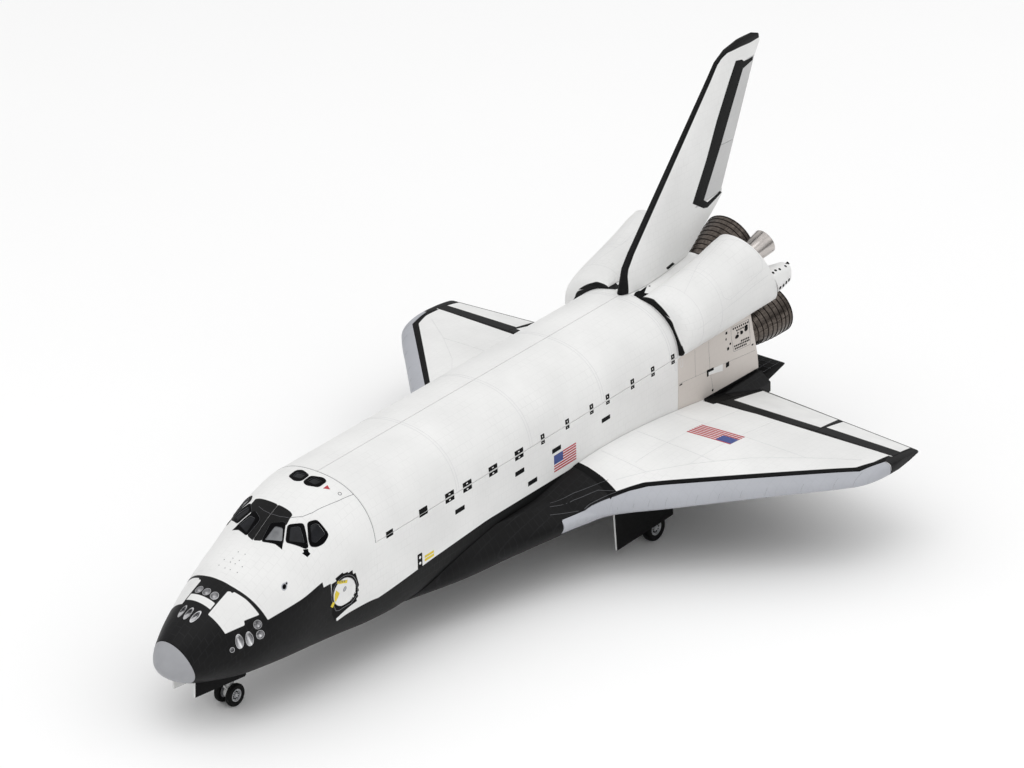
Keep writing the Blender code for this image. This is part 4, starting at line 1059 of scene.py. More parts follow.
def piping(lines, radius, finish, sides=8, closed=False):
    """Tubes along lines of places, radius in inches."""
    return repeated("piping", line_mesh(*lines, closed=closed), finish, Radius=radius * INCH, Sides=sides)


def studs(places, normals, radius, depth, finish, sides=12):
    """Round studs on places, each standing along its normal; sizes in inches."""
    mesh = bpy.data.meshes.new("points")
    mesh.from_pydata(world(places).tolist(), [], [])
    store(mesh, {"facing": np.asarray(normals)[:, [1, 0, 2]] @ TURN.T})
    return repeated("studs", mesh, finish, Radius=radius * INCH, Depth=depth * INCH, Sides=sides)


def circle_at(centre, axis, radius, steps=48):
    """A circle's places about an axis."""
    along = Vector(axis).normalized()
    first = along.orthogonal().normalized()
    second = along.cross(first)
    turn = np.arange(steps) * 2 * math.pi / steps
    return (np.array(centre) + radius * (np.cos(turn)[:, None] * np.array(first)
                                         + np.sin(turn)[:, None] * np.array(second)))


def marks(name, surface, *groups, body="airframe"):
    """Painted marks on a skin: a piece for each (label, cells, finish, and slot if unusual), each over the last."""
    for level, (label, cells, finish, *slot) in enumerate(groups):
        add_piece(f"{name}_{label}", laid(cells, surface, sizes("mark") * (1 + level * 0.6)), finish,
                  slot=slot[0] if slot else None, body=body)


# Surfaces of the wing and the tail

def wing_heights(port, station):
    """Upper and lower height of the wing skin above places in plan."""
    lead, lead_height, trail, trail_height, crown, keel, glove = [
        eased(WING, column, port) for column in range(1, 8)]
    along = (station - lead) / (trail - lead)
    chord_height = lead_height + (trail_height - lead_height) * along
    main_lead = np.maximum(834.0 + port, lead)
    s = np.clip((station - main_lead) / (trail - main_lead), 0, 1)
    crown_rise = crown * 10 * (0.2969 * np.sqrt(s) - 0.126 * s - 0.3516 * s ** 2 + 0.2843 * s ** 3
                               - 0.1036 * s ** 4)
    nose = np.minimum(1.0, np.sqrt(np.maximum(station - lead, 0.0) / 120.0))
    t = np.clip((station - 1000.0) / (1387.0 - 1000.0), 0, 1)
    glove_rise = glove * nose * (1 - t * t * (3 - 2 * t))
    top = (crown_rise ** 4 + glove_rise ** 4) ** 0.25
    drop = keel * np.minimum(1.0, np.sqrt(np.maximum(station - lead, 0.0) / 45.0))
    drop = drop * np.minimum(1.0, np.maximum(trail - station, 0.0) / (trail - HINGE_STATION) + 0.02) ** 0.9
    return chord_height + top + 0.6, chord_height - drop - 0.6


def wing_solid(side, chord_steps=72):
    """A whole wing with its leading edge and elevons."""
    ports = np.concatenate([np.linspace(80, 240, 61), np.linspace(244, 436, 49), np.linspace(438, 470, 17)])
    share = 1 - np.cos(math.pi / 2 * np.arange(chord_steps + 1) / chord_steps)
    lead, trail = eased(WING, 1, ports)[:, None], eased(WING, 3, ports)[:, None]
    station = lead + (trail - lead) * share
    port = np.broadcast_to(ports[:, None], station.shape)
    upper, lower = [np.stack([station, port * side, height], -1) for height in wing_heights(port, station)]
    return tube("wing", np.concatenate([upper, lower[:, ::-1]], 1))


def fin_half(station, height):
    """Half the fin's thickness at places on its side."""
    rows = np.array(FIN)
    lead, trail, half = [np.interp(height, rows[:, 0], rows[:, column]) for column in (1, 2, 3)]
    s = np.clip((station - lead) / (trail - lead), 0, 1)
    thick = 10 * (0.2969 * np.sqrt(s) - 0.126 * s - 0.3516 * s ** 2 + 0.2843 * s ** 3 - 0.1036 * s ** 4)
    return half * thick * (1 - 0.1 * s) + 0.7


def fin_solid(steps=48):
    """The whole fin with its rudder."""
    heights = np.unique(np.concatenate([[row[0] for row in FIN], np.linspace(502, 825, 60)]))
    rows = np.array(FIN)
    lead, trail = [np.interp(heights, rows[:, 0], rows[:, column])[:, None] for column in (1, 2)]
    station = lead + (trail - lead) * (1 - np.cos(math.pi / 2 * np.arange(steps + 1) / steps))
    height = np.broadcast_to(heights[:, None], station.shape)
    out = fin_half(station, height)
    near, far = [np.stack([station, out * side, height], -1) for side in (1, -1)]
    return tube("fin", np.concatenate([near, far[:, ::-1]], 1))


def pod_outline(station, share):
    """Outer and inner places of a pod's shell, at shares of the way round from the sill to the top."""
    grown_out, grown_up = eased(POD, 1, station), eased(POD, 2, station)
    first = angle_at(station, -GAP, height=SILL_HEIGHT + 2)
    last = angle_at(station, -GAP, port=34.0)
    inner = hull(station, first + (last - first) * share, -GAP)
    outer = hull(station, first + (last - first) * share, -GAP - 1.6)
    angle = POD_END + (POD_START - POD_END) * share
    across, up = np.cos(angle), np.sin(angle)
    full_port = POD_CENTRE[0] + POD_HALF[0] * np.sign(across) * np.abs(across) ** (2 / POD_POWER)
    full_height = POD_CENTRE[1] + POD_HALF[1] * np.sign(up) * np.abs(up) ** (2 / POD_POWER)
    outer[..., 1] += (full_port - outer[..., 1]) * grown_out
    outer[..., 2] += (full_height - outer[..., 2]) * grown_up
    return outer, inner


def pod_rings(side, steps=64):
    """Rings of a pod's closed shell."""
    places = np.unique(np.concatenate([np.array(POD)[:, 0], np.linspace(1312, 1570, 60)]))
    outer, inner = pod_outline(places[:, None], np.arange(steps + 1) / steps)
    return np.concatenate([outer, inner[:, ::-1]], 1) * (1, side, 1)


# Stations well ahead of the tail's joints and well behind the craft
AHEAD = 1300.0
BEHIND = 1800.0


def pod_rear(shift, ahead=False):
    """The pod's leaning rear plane on the centre plane, and everything aft or ahead of it."""
    (top_station, top), (low_station, low) = POD_REAR_TOP, POD_REAR_LOW
    lean = (low_station - top_station) / (top - low)
    end = AHEAD if ahead else BEHIND
    return [(low_station + shift + 60 * lean, low - 60), (top_station + shift - 60 * lean, top + 60),
            (end, top + 60), (end, low - 60)]


def base_plane(shift, ahead=False):
    """The aft fuselage's leaning base on the centre plane, and everything aft or ahead of it."""
    station, height = BASE_LOW
    lean = math.tan(BASE_TILT)
    end = AHEAD if ahead else BEHIND
    return [(station + shift + 80 * lean, height - 80), (station + shift - 300 * lean, height + 300),
            (end, height + 300), (end, height - 80)]


def wing_prism(outline, side):
    """An outline in plan on one side of the craft, raised through the wing."""
    return prism([(along, port * side) for along, port in outline], "plan", 200, 400)


def thrust_line(pitch, yaw):
    """The thrust line as (station, port, height)."""
    up, out = math.radians(pitch), math.radians(yaw)
    return (math.cos(up) * math.cos(out), math.cos(up) * math.sin(out), math.sin(up))


# Pieces, in the order in which the model is put together

# Thruster cups: place on the skin, radius, and how far they lean down from the skin's normal in degrees
CUPS_TOP = [((342, 0, 414.2), 6), ((342, 14.6, 413.2), 6), ((342, -14.6, 413.2), 6)]
CUPS_AHEAD = [((303.5, 0, 398), 4.1), ((303.5, 12.6, 396.8), 4.1), ((303.5, -12.6, 396.8), 4.1)]
CUPS_SIDE = [((332.8, 65.8, 360.4), 5.8, 54), ((346.9, 72, 360.2), 5.8, 54), ((320.6, 62.6, 352.6), 3.4, 20),
    ((363.6, 73.3, 376.4), 6.2, 10), ((362.8, 77.6, 362), 6.2, 10)]


def thruster_cup(spot, axis, radius, reach):
    """A bore, and the metal cup for it with its rim past the skin; reach is how far the skin cuts it aslant."""
    floor = -reach - 9.0
    bore = spun(spot, axis, [(floor, 0.0), (floor, radius), (30.0, radius), (30.0, 0.0)], 40)
    profile = [(floor + 0.3, 0.0), (floor + 0.3, radius + 0.3), (20.0, radius + 0.3), (20.0, radius - 0.45)]
    profile += [(-reach - depth, radius * share) for depth, share in (
        (1.5, 0.8), (3.2, 0.56), (4.6, 0.36), (8.0, 0.3), (8.0, 0.0))]
    profile.insert(4, (-reach - 0.2, radius - 0.45))
    return bore, spun(spot, axis, profile, 40)


class SHUTTLE_OT_nose(bpy.types.Operator):
    """Nose cap, forward thruster module with its cups, and the belly with its wheel well."""
    bl_idname = "shuttle.nose"
    bl_label = "Nose"

    def execute(self, context):
        behind = prism([*cap_line(0.0), (400, 240), (400, 432)], "side", -80, 80)
        rows = NOSE_TIP + 0.15 + 62 * np.linspace(0, 1, 40) ** 2
        add_piece("nose_cap_shell", carved(hull_tube(rows), behind), "matt_grey_acrylic", "nose_cap")

        pairs = [thruster_cup(spot, (-0.12, 0.0, 1.0), radius, 2.0) for spot, radius in CUPS_TOP]
        pairs += [thruster_cup(spot, (-1.0, 0.0, -0.02), radius, 9.0) for spot, radius in CUPS_AHEAD]
        for spot, radius, lean in CUPS_SIDE:
            place, normal = [rows[0] for rows in facing(rolled, on_skin([spot]))]
            down = np.array([0.0, 0.0, -1.0]) + normal * normal[2]
            down /= np.linalg.norm(down)
            turn = math.radians(lean)
            axis = normal * math.cos(turn) + down * math.sin(turn)
            pairs += [thruster_cup(place * (1, side, 1), axis * (1, side, 1), radius, radius * math.tan(turn))
                      for side in (1, -1)]
        bores, cups = zip(*pairs)
        ahead = [*cap_line(0.5), (200, 240), (200, 432)]
        module = carved(hull_solid(250, CABIN_FRONT - CLOSE, 1.5, ring=288), prism(ahead, "side", -80, 80),
                        block((200, -120, 200), (600, 120, SPLIT_HEIGHT + CLOSE)), joined(*bores))
        add_piece("forward_thruster_shell", module, "satin_acrylic_skin", "forward_thruster_module",
                  slot="tile_black", fields=hull_fields)
        add_piece("forward_thruster_cups",
                  carved(joined(*cups), within=[hull_solid(250, CABIN_FRONT - CLOSE, 3.0, -0.35)]), "cup_lacquer")

        lower = carved(hull_solid(250, BAY_FRONT - CLOSE, 3.0, ring=200), prism(ahead, "side", -80, 80),
                       block((200, -120, SPLIT_HEIGHT - CLOSE), (600, 120, 520)),
                       block((283, -23.2, 200), (387, 23.2, 316)))
        add_piece("forward_belly", lower, "satin_acrylic_skin", "forward_fuselage_lower", slot="tile_black",
                  fields=hull_fields)
        return {"FINISHED"}


def hatch_shape(growth, steps=40):
    """The hatch's painted border, grown outwards: round above, squarer at its foot."""
    station, height, radius, flat = HATCH
    turn = np.radians(np.linspace(8, 200, steps))
    arc = np.column_stack([station + (radius + growth) * np.cos(turn), height + (radius + growth) * np.sin(turn)])
    foot = [(499.0 - growth * 0.55, flat + 1.0 - growth), (504.0 - growth * 0.1, flat - 1.5 - growth),
            (526.0 + growth * 0.3, flat - 0.5 - growth), (537.0 + growth * 0.9, flat + 7.5 - growth * 0.5)]
    return np.concatenate([arc, foot])


def hatch_outline(growth, steps=64):
    """A round hatch with a flat foot, where its hinge lies."""
    station, height, radius, flat = HATCH
    radius += growth
    start = -math.asin((height - flat + growth) / radius)
    sweep = math.pi - 2 * start
    return [(station + radius * math.cos(start + sweep * step / steps),
             height + radius * math.sin(start + sweep * step / steps)) for step in range(steps + 1)]


# Marks on the cabin, as (station, port, height) on the port side
BROW_LINE = [(480.8, 0, 475.9), (482.2, 14.9, 476), (486.8, 28.3, 476.1)]
CABIN_LINE = [(489, 31.2, 476.5), (498.8, 43.6, 477.4), (512.2, 51, 480.1), (532.5, 56.8, 483.3),
    (555.8, 63.6, 484.6), (580.5, 68.5, 484.8)]
WINDOW_DABS = [[(449.2, 35.1, 452.8), (456, 43.6, 454.1), (449.2, 47.5, 448.3)], [(468.8, 69.3, 446.4),
    (474.8, 73.3, 446.1), (473.2, 75.4, 443), (474, 78.3, 440.2), (468, 77.7, 437.4), (465, 71, 442.6),
    (468, 71.5, 443.6)]]
NOSE_DOTS = [(416.5, -6.3), (417, 6.3), (404.5, -5.8), (405, 5.8), (397.5, -4.2), (397.8, 4.4), (398.5, 17.2),
    (398.5, -17.2), (385.8, -4.2), (386.5, 5), (387.5, 17.4), (387.5, -17.4)]
TRACKER = [((419.5, 75.5, 411.6), 4.8, 3.2), ((424.5, 75.4, 414.4), 2.2, 1.4)]

# Marks of the hatch, as (station, height): its handle in two parts, a bar, and the lip at its lower rear corner
HANDLE_TIP = [(486.4, 355.6), (490.3, 351.6), (495, 358), (491.2, 361.6)]
HATCH_BARS = [[(494.5, 360.8), (496.6, 359.2), (501, 364), (504.8, 369.5), (498.6, 376.6), (495.6, 371.5),
    (494.8, 366.5)], [(501, 386.6), (502.4, 390.2), (521.6, 384.2), (520.2, 379.2)]]
HATCH_LIP = [(533, 374), (536.9, 368.8), (537, 354.5), (528.5, 346.9), (516, 346.9), (527, 353)]


class SHUTTLE_OT_cabin(bpy.types.Operator):
    """Crew cabin: shell with window openings, panes, frames, deck, bulkhead, marks and the side hatch."""
    bl_idname = "shuttle.cabin"
    bl_label = "Cabin"

    def execute(self, context):
        openings = [*WINDOWS, ROOF_WINDOW]
        punches = []
        for side in (1, -1):
            for corners in openings:
                points = np.array(corners) * (1, side, 1)
                normal = np.cross(points[2] - points[0], points[1] - points[3])
                reach = normal / np.linalg.norm(normal) * 14
                punches.append(tube("punch", [points - reach, points + reach]))
        shell = carved(hull_solid(CABIN_FRONT + CLOSE, BAY_FRONT - CLOSE, 2.0, ring=288),
                       block((300, -120, 200), (600, 120, SPLIT_HEIGHT + CLOSE)),
                       hull_solid(CABIN_FRONT + 20, BAY_FRONT + 10, 5.0, SKIN), *punches,
                       prism(hatch_outline(GAP), "side", 70, 130))
        add_piece("cabin_shell", shell, "satin_acrylic_skin", "forward_fuselage_upper", fields=hull_fields)
        for node in ("flight_deck", "cabin_rear_bulkhead"):
            add_piece(f"{node}_piece", rounded(merged_copy(node), 0.5), "cabin_acrylic", node)

        frames, outlines, rims, panes = [], [], [], []
        for opening, frame_line in zip(openings, [*WINDOW_FRAMES, ROOF_FRAME]):
            hole, edge = on_skin(opening), on_skin(frame_line)
            frames.append(band_of(softened(edge, 4.5, 0.3), softened(hole, 3.0, -0.6)))
            outlines.append(band_of(softened(edge, 5.0, 0.9), softened(edge, 4.2, -0.5)))
            rims.append(band_of(softened(hole, 3.0), softened(hole, 2.6, -0.9)))
            panes.append(cells_of(softened(hole, 3.0, 0.4)))
        for label, bands, finish, lift, sunk in (("outlines", outlines, "outline_enamel", 0.25, 0.6),
                                                 ("frames", frames, "black_enamel", sizes("frame"), 1.2),
                                                 ("rims", rims, "outline_enamel", -0.1, 1.6)):
            add_piece(f"window_{label}", laid(mirrored(bands), rolled, lift, sunk), finish)
        panes = mirrored(panes)
        for name, some, finish, *nodes in (
                ("windshield_panes", panes[1:3] + panes[4:7], "smoked_styrene", "windshield_glazing"),
                # The port front pane is light grey: a painted reflection of the studio
                ("front_pane_port", panes[:1], "bright_styrene"),
                ("overhead_panes", [panes[3], panes[7]], "smoked_styrene", "overhead_glazing")):
            add_piece(name, laid(some, rolled, -0.9, 2.4), finish, *nodes)

        seam = sizes("seam")
        # The first ribbons lie just ahead of the joint between the cabin and the bay doors: painted shade that
        # widens the gap's dark line
        joint = [*at_port([(581, port) for port in np.linspace(0, 100, 26)]), *at_height([(581, 440), (581, 418)])]
        wash = [*mirrored([ribbon_of(joint, seam)]), ribbon_of(on_skin(CABIN_LINE), seam),
                ring_of(on_skin([(564.8, 57.1, 489.4)])[0], 3.0, 2.1)]
        dabs = mirrored([cells_of(on_skin(corners)) for corners in WINDOW_DABS])
        # The tracker's holes are black discs: painted shade where its openings lie
        halos, holes = [[disc_of(on_skin([row[0]])[0], row[size]) for row in TRACKER] for size in (1, 2)]
        marks("cabin", rolled, ("panel_lines", wash, "panel_line_wash"),
              ("tracker_rims", halos, "satin_grey_acrylic"),
              ("black_marks", dabs + holes, "black_enamel"),
              ("brow_line", mirrored([ribbon_of(on_skin(BROW_LINE), 0.5)]), "outline_enamel"),
              ("red_mark", [cells_of(on_skin([(554.5, 35, 495.5), (563.5, 35.3, 496.7), (560, 43, 493.6)]))],
               "red_print"))
        add_piece("nose_dots", studs(*facing(rolled, at_port(NOSE_DOTS)), 0.65, 0.5, "panel_line_wash"))
        marks("hatch", rolled,
              ("tiles", [band_of(at_height(HATCH_TILES), at_height(hatch_outline(GAP)))], "matt_black_acrylic"),
              ("ring", [band_of(at_height(hatch_shape(4.3)), at_height(hatch_shape(3.5)))], "ring_enamel"),
              ("handle_tip", [cells_of(at_height(HANDLE_TIP))], "yellow_print"))

        hatch = carved(hull_solid(480, 550, 2.0, ring=288), hull_solid(470, 560, 5.0, 4.0),
                       within=[prism(hatch_outline(0.0), "side", 70, 130)])
        add_piece("crew_hatch_panel", hatch, "satin_acrylic_skin", "crew_hatch", body="crew_hatch",
                  fields=hatch_fields)
        window = at_height([(515.5, 371.5)])[0]
        dash = np.array([(503.5, 386.9), (504.9, 389.8), (506.4, 389.2), (505.0, 386.3)])
        marks("hatch_marks", rolled,
              ("lip", [cells_of(at_height(HATCH_LIP))], "satin_white_acrylic"),
              ("window_rim", [ring_of(window, 3.3, 2.3)], "ring_enamel", "stone_grey"),
              ("window_pane", [disc_of(window, 1.9)], "satin_grey_acrylic"),
              ("bars", [cells_of(at_height(corners)) for corners in HATCH_BARS], "yellow_print"),
              ("dashes", [cells_of(at_height(dash + (k * 3.6, -k * 1.3))) for k in range(4)], "outline_enamel",
               "tile_black"), body="crew_hatch")
        return {"FINISHED"}


# Door hinge fittings by station: half width, and how far they reach above and below the hinge line
HINGES = [(612.0, 7.5, (418.9, 424.0), (414.0, 417.6)), (687.5, 9.2, (418.9, 427.0), (414.5, 417.6)),
          *[(station, 10.0, (419.4, 426.4), (410.8, 417.2)) for station in (747.0, 787.5, 847.5, 909.0)],
          *[(station, 4.4, (419.8, 427.6), (411.5, 417.0)) for station in (966.0, 1026.0, 1086.0, 1126.5, 1189.5,
                                                                       1242.0, 1294.5)]]
DOOR_JOINTS = (766, 938, 1115, 1290)

# Small dark panels on the bay's sides: stations and heights
SIDE_PANELS = [((757.5, 779), (384, 391.5)), ((898, 919.5), (384.8, 392.4)), ((927.5, 949.5), (355.6, 363.2)),
    ((987, 1008.5), (384.8, 392.4)), ((1110, 1131), (385, 392.2))]

# The striped panel on the bay's sides: two corners as (station, height)
STRIPES = ((991, 380), (1045, 352))


def box_at(along, heights):
    """The corners of a box on a side, unrolled."""
    (s0, s1), (h0, h1) = along, heights
    return at_height([(s0, h0), (s1, h0), (s1, h1), (s0, h1)])


def panel_at(station, half, heights, ahead=1.0, behind=1.0, margin=(0.0, 0.0)):
    """The cells of a box on a side: half its width about a station, or less of it ahead and behind, and its
    heights with a margin at the foot and at the head."""
    return cells_of(box_at((station - half * ahead, station + half * behind),
                           (heights[0] + margin[0], heights[1] - margin[1])))


def striped_panel(low, high, count=13):
    """Flat cells of a striped panel between two corners: the stripes and the corner field."""
    (a0, b0), (a1, b1) = low, high
    pitch = (b1 - b0) / count
    box = lambda x1, y0, y1: cells_of([(a0, y0), (x1, y0), (x1, y1), (a0, y1)])
    stripes = [box(a1, b0 + row * pitch, b0 + (row + 1) * pitch) for row in range(0, count, 2)]
    return stripes, [box(a0 + (a1 - a0) * 0.4, b0, b0 + pitch * 7)]


def bay_sweep(outline):
    """A profile of (station, radius) swept round the bay's hollow, from sill to sill."""
    return tube("sweep", [[(station, radius * math.cos(turn), BAY_MIDDLE + radius * math.sin(turn))
                           for station, radius in outline] for turn in np.radians(np.linspace(171, 369, 67))])


class SHUTTLE_OT_payload_bay(bpy.types.Operator):
    """Payload bay trough with its frames and lining, its two doors, their radiators and marks."""
    bl_idname = "shuttle.payload_bay"
    bl_label = "Payload bay"

    def execute(self, context):
        mid = carved(hull_solid(BAY_FRONT + CLOSE, BAY_REAR - CLOSE, 12.0, ring=200),
                     block((500, -130, SILL_HEIGHT - GAP / 2), (1400, 130, 520)),
                     rod((BAY_FRONT + 8, 0, BAY_MIDDLE), (BAY_REAR - 8, 0, BAY_MIDDLE), BAY_RADIUS, 96))
        add_piece("bay_trough", mid, "satin_acrylic_skin", "mid_fuselage", fields=hull_fields)
        rib = bay_sweep([(591.0, 92.4), (594.0, 92.4), (594.0, 88.5), (591.0, 88.5)])
        pitch = (TURN @ np.array([0.0, 58.6, 0.0])) * INCH
        add_piece("bay_frames", repeated("row", rib, "satin_white_acrylic", Count=13, Pitch=pitch.tolist()))
        add_piece("bay_lining", bay_sweep([(590.2, 92.3), (1298.8, 92.3), (1298.8, 91.2), (590.2, 91.2)]),
                  "satin_grey_acrylic")
        ends = [carved(rod((front, 0, BAY_MIDDLE), (front + 0.4, 0, BAY_MIDDLE), BAY_RADIUS - 1, 96),
                       within=[block((500, -130, 200), (1400, 130, SILL_HEIGHT - 1.0))])
                for front in (BAY_FRONT + 7.9, BAY_REAR - 8.3)]
        add_piece("bay_end_walls", joined(*ends), "satin_white_acrylic")

        sill = at_height([(800, SILL_HEIGHT)])[0][1]
        rows = stations(BAY_FRONT + GAP / 2, BAY_REAR - GAP / 2, 8.0)[:, None]
        curves = []
        for inset in (0.0, SKIN):
            first = angle_at(rows, inset, height=SILL_HEIGHT + GAP / 2)
            last = angle_at(rows, inset, port=GAP / 2)
            curves.append(hull(rows, first + (last - first) * np.linspace(0, 1, 65), inset))
        rings = np.concatenate([curves[0], curves[1][:, ::-1]], 1)
        joints = [ribbon_of([(station + shift, 1.5), (station + shift, sill - 1.5)], 0.7)
                  for station in DOOR_JOINTS for shift in (-2.6, 2.6)]
        plates = [panel_at(station, half, top) for station, half, top, _ in HINGES]
        pins = [panel_at(station, half, top, 0.2, 0.15, (2.8, 2.6)) for station, half, top, _ in HINGES[2:]]
        radiators = [cells_of([(low, 6), (high, 6), (high, sill - 12.0), (low, sill - 12.0)], 8.0)
                     for low, high in ((596, 760), (772, 932), (944, 1109), (1121, 1294))]
        for name, side in SIDES.items():
            door = f"bay_door_{name}"
            add_piece(f"bay_door_panel_{name}", tube("door", rings * (1, side, 1)), "satin_acrylic_skin", door,
                      body=door, fields=hull_fields)
            marks(door, rolled, ("joint_lines", sided(joints, side), "faint_line_wash"),
                  ("hinge_plates", sided(plates, side), "matt_black_acrylic"),
                  ("hinge_pins", sided(pins, side), "satin_white_acrylic"), body=door)
            add_piece(f"bay_radiators_{name}", laid(sided(radiators, side), rolled, -SKIN + 0.3, SKIN + 1.2),
                      "silver_lacquer", body=door)

        lower = [panel_at(station, half, low) for station, half, _, low in HINGES]
        pins = [panel_at(station, half, low, 0.2, 0.15, (2.0, 2.4)) for station, half, _, low in HINGES[2:]]
        dark = [cells_of(box_at(*panel)) for panel in SIDE_PANELS]
        dark.append(cells_of(softened(box_at((669.5, 680.0), (333.0, 357.0)), 1.5)))
        pins += [disc_of(at_height([(675, height)])[0], 2.2) for height in (341.0, 350.5)]
        bars = [cells_of(box_at((685.5, 706.0), heights)) for heights in ((339.0, 343.0), (344.8, 348.5))]
        stripes, corner = striped_panel(*[tuple(at_height([place])[0]) for place in STRIPES])
        marks("bay_side", rolled, ("panels", mirrored(lower + dark), "matt_black_acrylic"),
              ("pins", mirrored(pins), "satin_white_acrylic"), ("bars", mirrored(bars), "yellow_print"),
              ("stripes", mirrored(stripes), "red_print"), ("corner", mirrored(corner), "blue_print"))
        return {"FINISHED"}


# Marks on the aft fuselage's sides, as stations and heights
VENT_PLATE = [(1449, 412.4), (1500, 408), (1503, 361.6), (1456.5, 367)]
VENT_ROWS = [(0.09, 0.12, 0.9, 8), (0.21, 0.3, 0.86, 6), (0.33, 0.34, 0.5, 2), (0.7, 0.5, 0.9, 5),
    (0.8, 0.1, 0.92, 9), (0.91, 0.12, 0.74, 7)]
# The vent holes are black discs: painted shade where the holes are
VENT_HOLES = [(1466, 390, 5), (1479, 392, 3.8), (1491, 394, 4.6)]
AFT_SQUARES = [(1437, 408, 2.2), (1447.5, 385, 1.8), (1441.5, 378.6, 2.4), (1440, 351, 4.2)]
AFT_SPOTS = [(1401, 321, 2.2), (1436, 397, 1.4)]
AFT_CIRCLES = [(1302, 407), (1317, 406)]
AFT_DASHES = [((1310.5, 1317.5), (366, 368)), ((1506.5, 1511), (357.5, 360))]
AFT_LINES = [[(1309.5, 370.2), (1405.5, 359.3), (1516.5, 345.4)], [(1389, 412), (1392, 361.6), (1405.5, 306)],
    [(1352, 412), (1353, 365.5)]]
WHITE_PLATE = [(1386, 361.6), (1426.5, 357.2), (1426.5, 345.4), (1387.5, 353.4)]
DARK_CORNER = [(1383.5, 363.5), (1402, 361.5), (1402, 357), (1388, 358.4), (1388.4, 351.5), (1384, 352)]

# A dark flap at the top of the pods' front seal, as (station, port), and small spots beside the fin
SEAL_TAB = [(1310.5, 18.1), (1320, 14.6), (1327.5, 14.6), (1329, 17.2), (1348.5, 15.8), (1328, 26.3),
    (1334, 34.7), (1334, 37.6), (1322, 41.8), (1315.5, 55.7), (1309, 49.3), (1308, 33.2)]
DECK_SPOTS = [(1338, 19.5), (1352, 18.5)]


class SHUTTLE_OT_aft_fuselage(bpy.types.Operator):
    """Aft fuselage with its vent plates and lines, and the body flap."""
    bl_idname = "shuttle.aft_fuselage"
    bl_label = "Aft fuselage"

    def execute(self, context):
        aft = carved(hull_solid(BAY_REAR + GAP / 2, 1560, 4.0, ring=200),
                     prism(base_plane(0.0), "side", -130, 130))
        add_piece("aft_shell", aft, "satin_acrylic_skin", "aft_fuselage", slot="stone_grey", fields=hull_fields)
        vents = [four_way(VENT_PLATE, across, down) for down, first, last, count in VENT_ROWS
                 for across in np.linspace(first, last, count)]
        rings = [ring_of(spot, 3.2, 2.6) for spot in at_height(AFT_CIRCLES)]
        plate = at_height(VENT_PLATE)
        lines = [*(ribbon_of(at_height(line), 0.28) for line in AFT_LINES),
                 band_of(softened(plate, 3.0, 0.4), softened(plate, 3.0, -0.3))]
        dark = [disc_of(at_height([spot])[0], radius) for *spot, radius in VENT_HOLES + AFT_SPOTS]
        dark += [panel_at(station, half, (height - half, height + half)) for station, height, half in AFT_SQUARES]
        dark += [cells_of(box_at(*dash)) for dash in AFT_DASHES]
        dark = mirrored(dark + [cells_of(at_height(DARK_CORNER))]) + mirrored([cells_of(at_port(SEAL_TAB))])
        marks("aft", rolled, ("lines", mirrored(lines), "panel_line_wash"),
              ("circles", mirrored(rings), "faint_line_wash", "pale_grey"),
              ("white_plates", mirrored([cells_of(at_height(WHITE_PLATE))]), "satin_white_acrylic"),
              ("dark_marks", dark, "black_enamel"))
        for name, side in SIDES.items():
            places = facing(rolled, at_height(vents) * (1, side))
            add_piece(f"aft_vents_{name}", studs(*places, 1.6, 0.5, "black_enamel"))
        deck = at_port(DECK_SPOTS)
        add_piece("deck_spots", studs(*facing(rolled, np.concatenate([deck, deck * (1, -1)])), 1.5, 0.3,
                                      "black_enamel"))

        add_piece("body_flap_panel", rounded(merged_copy("body_flap"), 0.8), "matt_black_acrylic", "body_flap")
        ribs = [[(1540, port, 290.1), (1598, port, 289.7)] for port in np.linspace(-98, 98, 15)]
        ribs += [[(station, -101, 290), (station, 101, 290)] for station in (1552, 1568, 1584)]
        add_piece("body_flap_joints", piping(ribs, 0.3, "outline_enamel", 6), slot="tile_black")
        return {"FINISHED"}


def four_way(corners, u, v):
    """The spot in a four-cornered panel at shares of the way along its first side and away from it."""
    a, b, c, d = np.array(corners, float)
    return a * (1 - u) * (1 - v) + b * u * (1 - v) + c * u * v + d * (1 - u) * v


# Paint on the wing's upper skin, as (station, port)
GLOVE_LINE = [(1050.3, 100), (1050.6, 106.4), (1051.8, 123.2), (1050.7, 139.2), (1049.1, 153.6),
    (1046.8, 164.8), (1042.9, 183.2)]
GREY_LINE = [(953, 145.6), (981.1, 153.6), (1002.9, 164), (1029.3, 181.6), (1057.5, 198.4), (1077.9, 209.6),
    (1171.6, 302.4), (1311.4, 438.4), (1337.8, 446.4), (1360.4, 449.6)]
STRIP_LINE = [(1042.9, 183.2), (1062.7, 194.4), (1082.5, 206.4), (1176.7, 299.2), (1314.9, 436),
    (1347.5, 447.2), (1385.8, 450.4)]
BAND_FRONT = [(1379.3, 129), (1395, 304), (1387.3, 450.4)]
GLOVE_SEAMS = [[(955.4, 124.8), (997, 137.6), (1050.4, 162.4)], [(949.6, 128.8), (990.7, 143.2),
    (1026.2, 161.6), (1040.9, 180.8)], [(940.6, 136), (1004, 162.4), (1041.8, 184)]]
WING_SEAMS = [[(1058.3, 171.2), (1101.3, 196), (1159.9, 236), (1233.5, 296), (1293.7, 365.6),
    (1340.9, 429.6)], [(1100, 112), (1101.3, 196)], [(1190, 112), (1190, 260)], [(1290, 112), (1290, 360)],
    [(1110, 170), (1378, 172)], [(1160, 236), (1382, 240)]]

